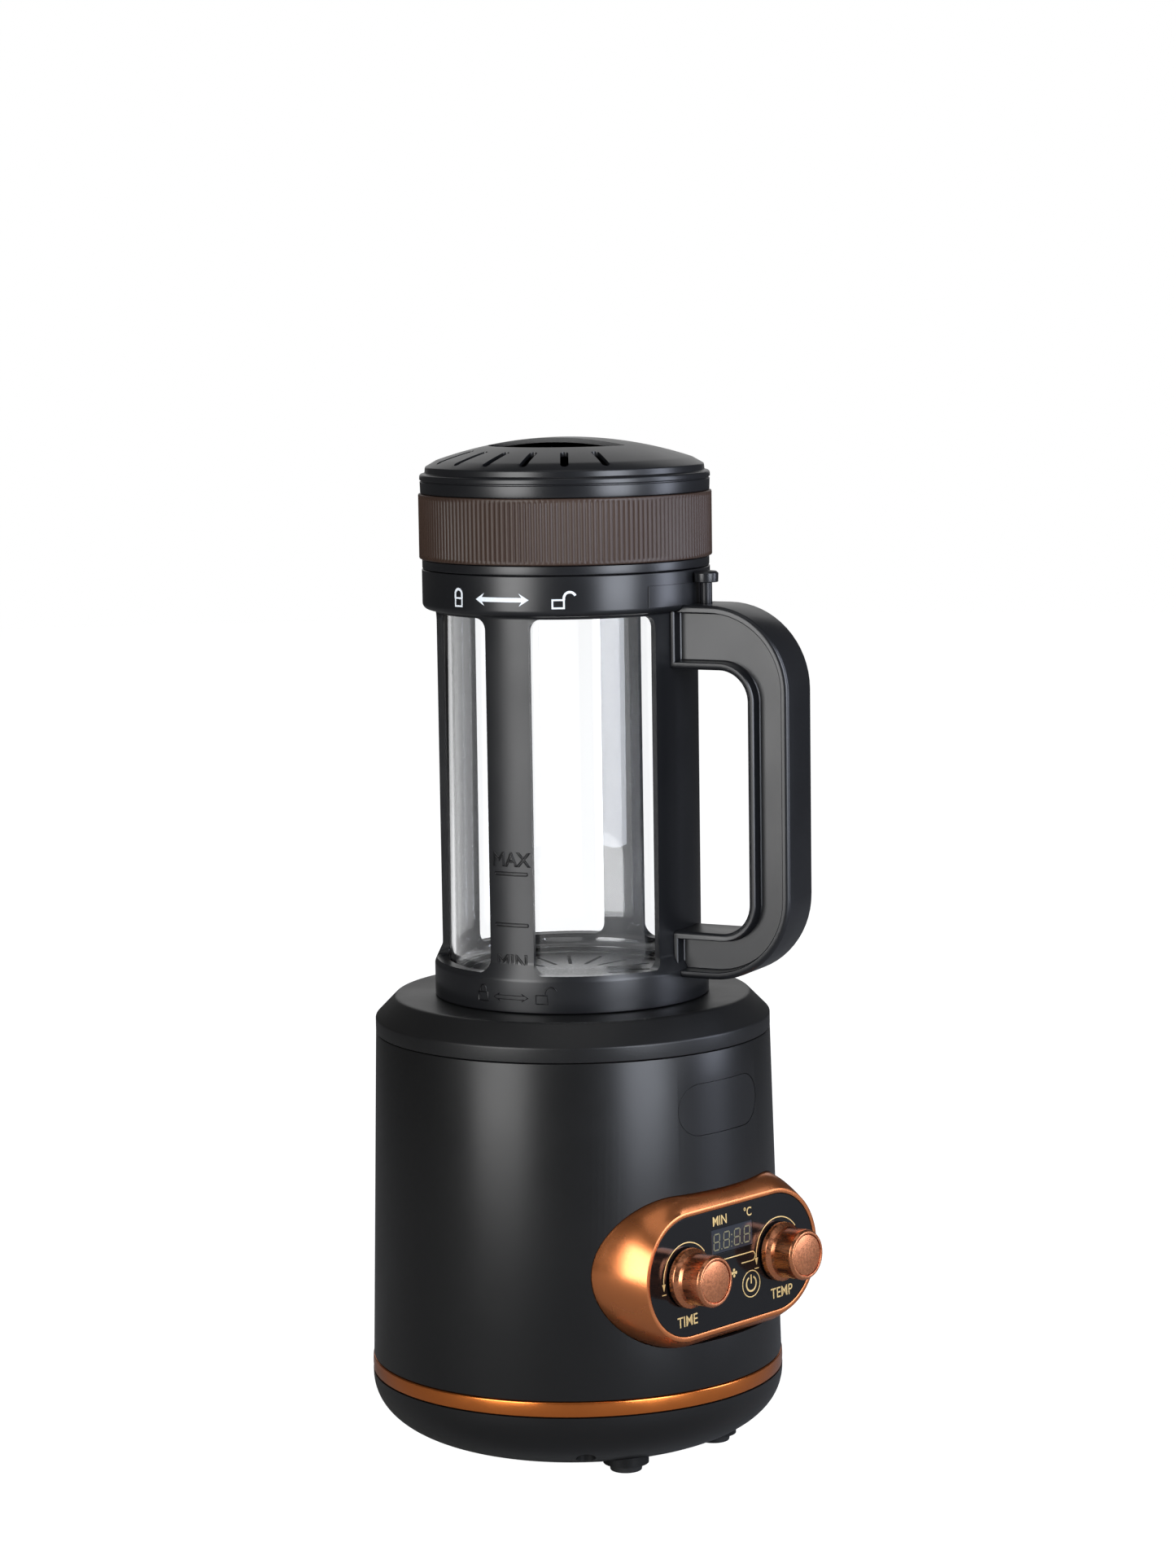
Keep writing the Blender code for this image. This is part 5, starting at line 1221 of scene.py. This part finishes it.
def makeDome():
    d = lidLook
    low = domeLow.z
    ring = domeHigh.x
    bore = d["core"] + 0.3 * mm
    ringTop = low + 4.5 * mm
    flange = ringTop + 2.8 * mm
    step = ring - 2.1 * mm
    edge = d["edge"]
    outside = [(bore, low, 0), (ring - 0.3 * mm, low, 0.25 * mm), (ring - 0.15 * mm, ringTop, 0.3 * mm),
               (ring - 0.75 * mm, ringTop + 0.1 * mm, 0.1 * mm),
               (ring - 0.75 * mm, ringTop + 0.5 * mm, 0.1 * mm), (ring, ringTop + 0.6 * mm, 0.35 * mm),
               (ring - 0.1 * mm, flange, 1.0 * mm),
               (step, flange + 0.3 * mm, 0.5 * mm), (step - 0.25 * mm, edge - 0.4 * mm, 0.9 * mm)]
    outline = rounded(outside + [(50 * mm, crownHeight(50 * mm), 0), (30 * mm, 380 * mm, 0)], 4)[:-2]
    crownRim, liningRim = 50.5 * mm, 50 * mm
    for index in range(31):  # the crown's outside, from the rim to the middle
        radius = crownRim * (1 - index / 30)
        outline.append((radius, crownHeight(radius)))
    for index in range(13):  # its underside, back out to the pocket for the screen
        radius = liningRim * index / 12
        outline.append((radius, crownHeight(radius) - d["wall"]))
    outline += [(d["pocket"], d["pocketTop"]), (d["pocket"], d["pocketLow"]), (bore, d["pocketLow"])]
    halfTurn = math.degrees(math.acos(d["chord"] / d["outlet"]))
    outlet = pushed(arcPoints((0, 0), d["outlet"], -halfTurn, halfTurn, 48), 389 * mm,
                    domeHigh.z + 2 * mm, toAngle(d["outletAngle"]))

    def vent():
        half = d["ventWidth"] / 2
        length = (d["ventTo"] - d["ventFrom"]) / 2 - half
        return pushed(stadium(length, half, 10), 386.5 * mm, domeHigh.z,
                      Matrix.Translation(((d["ventFrom"] + d["ventTo"]) / 2, 0, 0)))

    first = d["outletAngle"] - d["ventPitch"] * (d["ventCount"] - 1) / 2
    vents = aroundAxis(vent, [first + d["ventPitch"] * index for index in range(d["ventCount"])])
    shape = carved(turned(outline, 180), [("DIFFERENCE", outlet), ("DIFFERENCE", vents)])
    softened(piece("lidDome", shape, satinBlack, "lid", ["lid_dome"]), 0.25 * mm,
             2, 45)


screenHoles = {"rings": 8, "pitch": 5.6 * mm, "perRing": 6, "radius": 1.5 * mm}


def makeScreen():
    h = screenHoles
    low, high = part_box("vent_screen")
    punch = [(0, low.z - 1 * mm), (h["radius"], low.z - 1 * mm), (h["radius"], high.z + 1 * mm),
             (0, high.z + 1 * mm)]
    plate = [(0, low.z), (high.x, low.z), (high.x, high.z), (0, high.z)]
    holes = []
    for ring in range(1, h["rings"] + 1):
        count = h["perRing"] * ring
        for index in range(count):
            place = Matrix.Translation(direction(360 / count * index) * h["pitch"] * ring)
            holes.append(placed(turned(punch, 8), place))
    shape = carved(turned(plate, 96), [("DIFFERENCE", joined(holes))])
    piece("ventScreen", shape, blackRubber, "lid", ["vent_screen"], 30)


makeCore()
makeGrip()
makeDome()
makeScreen()
print("lid made")


# carried-over CAD nodes
carried = {
    plainSteel: ["pan_screw_1", "pan_screw_2", "pan_screw_3", "pan_screw_4", "handle_screw_upper",
                 "handle_screw_lower", "motor_can",
                 "motor_shaft", "motor_bracket", "heater_tube", "thermal_cutout", "chaff_cup",
                 "time_shaft", "temp_shaft"],
    heatingWire: ["heater_coil"],
    boardGreen: ["touch_sensor", "control_board", "power_board"],
    naturalNylon: ["time_encoder", "temp_encoder", "fan_housing", "fan_impeller"],
    micaSheet: ["heater_frame"],
    greySilicone: ["chamber_gasket", "jar_base_seal", "lid_seal"],
}
for look, names in carried.items():
    for name in names:
        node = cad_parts[name]
        node.data.materials.clear()
        node.data.materials.append(look)
print("inside finished")


# camera, light and floor
shot = {"azimuth": -47.0, "distance": 1553.64 * mm, "height": 459.55 * mm, "pitch": 7.168,
        "yaw": 0.2747, "roll": -0.8429, "lens": 90.55}


def makeCamera():
    turn = Matrix.Rotation(math.radians(shot["azimuth"]), 3, "Z")
    pitch, yaw, roll = (math.radians(shot[key]) for key in ("pitch", "yaw", "roll"))
    forward = Vector((math.sin(yaw) * math.cos(pitch), math.cos(yaw) * math.cos(pitch),
                      -math.sin(pitch)))
    right = Vector((math.cos(yaw), -math.sin(yaw), 0))
    up = right.cross(forward)
    rightRolled = right * math.cos(roll) + up * math.sin(roll)
    upRolled = up * math.cos(roll) - right * math.sin(roll)
    axes = Matrix((turn @ rightRolled, turn @ upRolled, -(turn @ forward))).transposed()
    data = bpy.data.cameras.new("camera")
    data.lens, data.sensor_width = shot["lens"], 36
    camera = bpy.data.objects.new("camera", data)
    bpy.context.scene.collection.objects.link(camera)
    place = turn @ Vector((0, -shot["distance"], shot["height"]))
    camera.matrix_world = Matrix.Translation(place) @ axes.to_4x4()
    bpy.context.scene.camera = camera


def softbox(name, angle, distance, height, size, power, colour=(1, 1, 1), target=0.2):
    data = bpy.data.lights.new(name, "AREA")
    data.shape, data.size, data.size_y = "RECTANGLE", size[0], size[1]
    data.energy, data.color = power, colour
    light = bpy.data.objects.new(name, data)
    light.location = direction(angle) * distance + Vector((0, 0, height))
    light.rotation_euler = (light.location - Vector((0, 0, target))).to_track_quat("Z", "Y").to_euler()
    bpy.context.scene.collection.objects.link(light)
    return light


lighting = {"world": 0.06, "background": 1.0, "floor": 0.98, "floorTint": (0.3, 0.3, 0.3)}


def seenDirectly(nodes, links):  # 1 for what is seen straight on or through the glass, 0 in reflections
    rays = nodes.new("ShaderNodeLightPath")
    either = nodes.new("ShaderNodeMath")
    either.operation = "MAXIMUM"
    links.new(rays.outputs["Is Camera Ray"], either.inputs[0])
    links.new(rays.outputs["Is Transmission Ray"], either.inputs[1])
    return either.outputs["Value"]


def makeLight():
    softbox("stripLeft", -88, 1.35, 0.62, (0.7, 1.2), 17.0, (1, 1, 1), 0.6)
    softbox("stripRight", -6.5, 1.35, 0.62, (0.62, 1.2), 19.0, (0.9, 0.95, 1.06), 0.6)
    softbox("stripSide", 38, 1.35, 0.62, (0.4, 1.2), 9.0, (0.86, 0.92, 1.1), 0.6)
    softbox("topPanel", -47, 0.2, 1.7, (1.0, 1.0), 1.6)
    softbox("backPanel", 133, 1.6, 1.0, (1.4, 1.4), 3.6)
    world = bpy.data.worlds.new("studio")
    bpy.context.scene.world = world
    world.use_nodes = True
    nodes, links = world.node_tree.nodes, world.node_tree.links
    background = nodes["Background"]
    background.inputs["Color"].default_value = (1, 1, 1, 1)
    level = nodes.new("ShaderNodeMapRange")
    level.inputs["To Min"].default_value = lighting["world"]
    level.inputs["To Max"].default_value = lighting["background"]
    links.new(seenDirectly(nodes, links), level.inputs["Value"])
    links.new(level.outputs["Result"], background.inputs["Strength"])
    bpy.context.scene.view_settings.view_transform = "Standard"


def makeFloor():
    bm = bmesh.new()
    bmesh.ops.create_circle(bm, cap_ends=True, radius=4.0, segments=96)
    bmesh.ops.translate(bm, verts=bm.verts, vec=(0, 0, -0.2 * mm))
    floor = looseObject("floor", bm)
    mat, shader = newMaterial("paleFloor", lighting["floorTint"], 0.8)
    shader.inputs["Specular IOR Level"].default_value = 0.1
    shader.inputs["Emission Color"].default_value = (1, 1, 1, 1)
    mottle(mat, shader, objectNoise(mat, 3.0), lighting["floorTint"], (0.31, 0.31, 0.31))
    nodes, links = mat.node_tree.nodes, mat.node_tree.links
    level = nodes.new("ShaderNodeMapRange")
    level.inputs["To Min"].default_value = 0.0
    level.inputs["To Max"].default_value = lighting["floor"]
    links.new(seenDirectly(nodes, links), level.inputs["Value"])
    links.new(level.outputs["Result"], shader.inputs["Emission Strength"])
    floor.data.materials.append(mat)


makeCamera()
makeLight()
makeFloor()
print("scene ready")
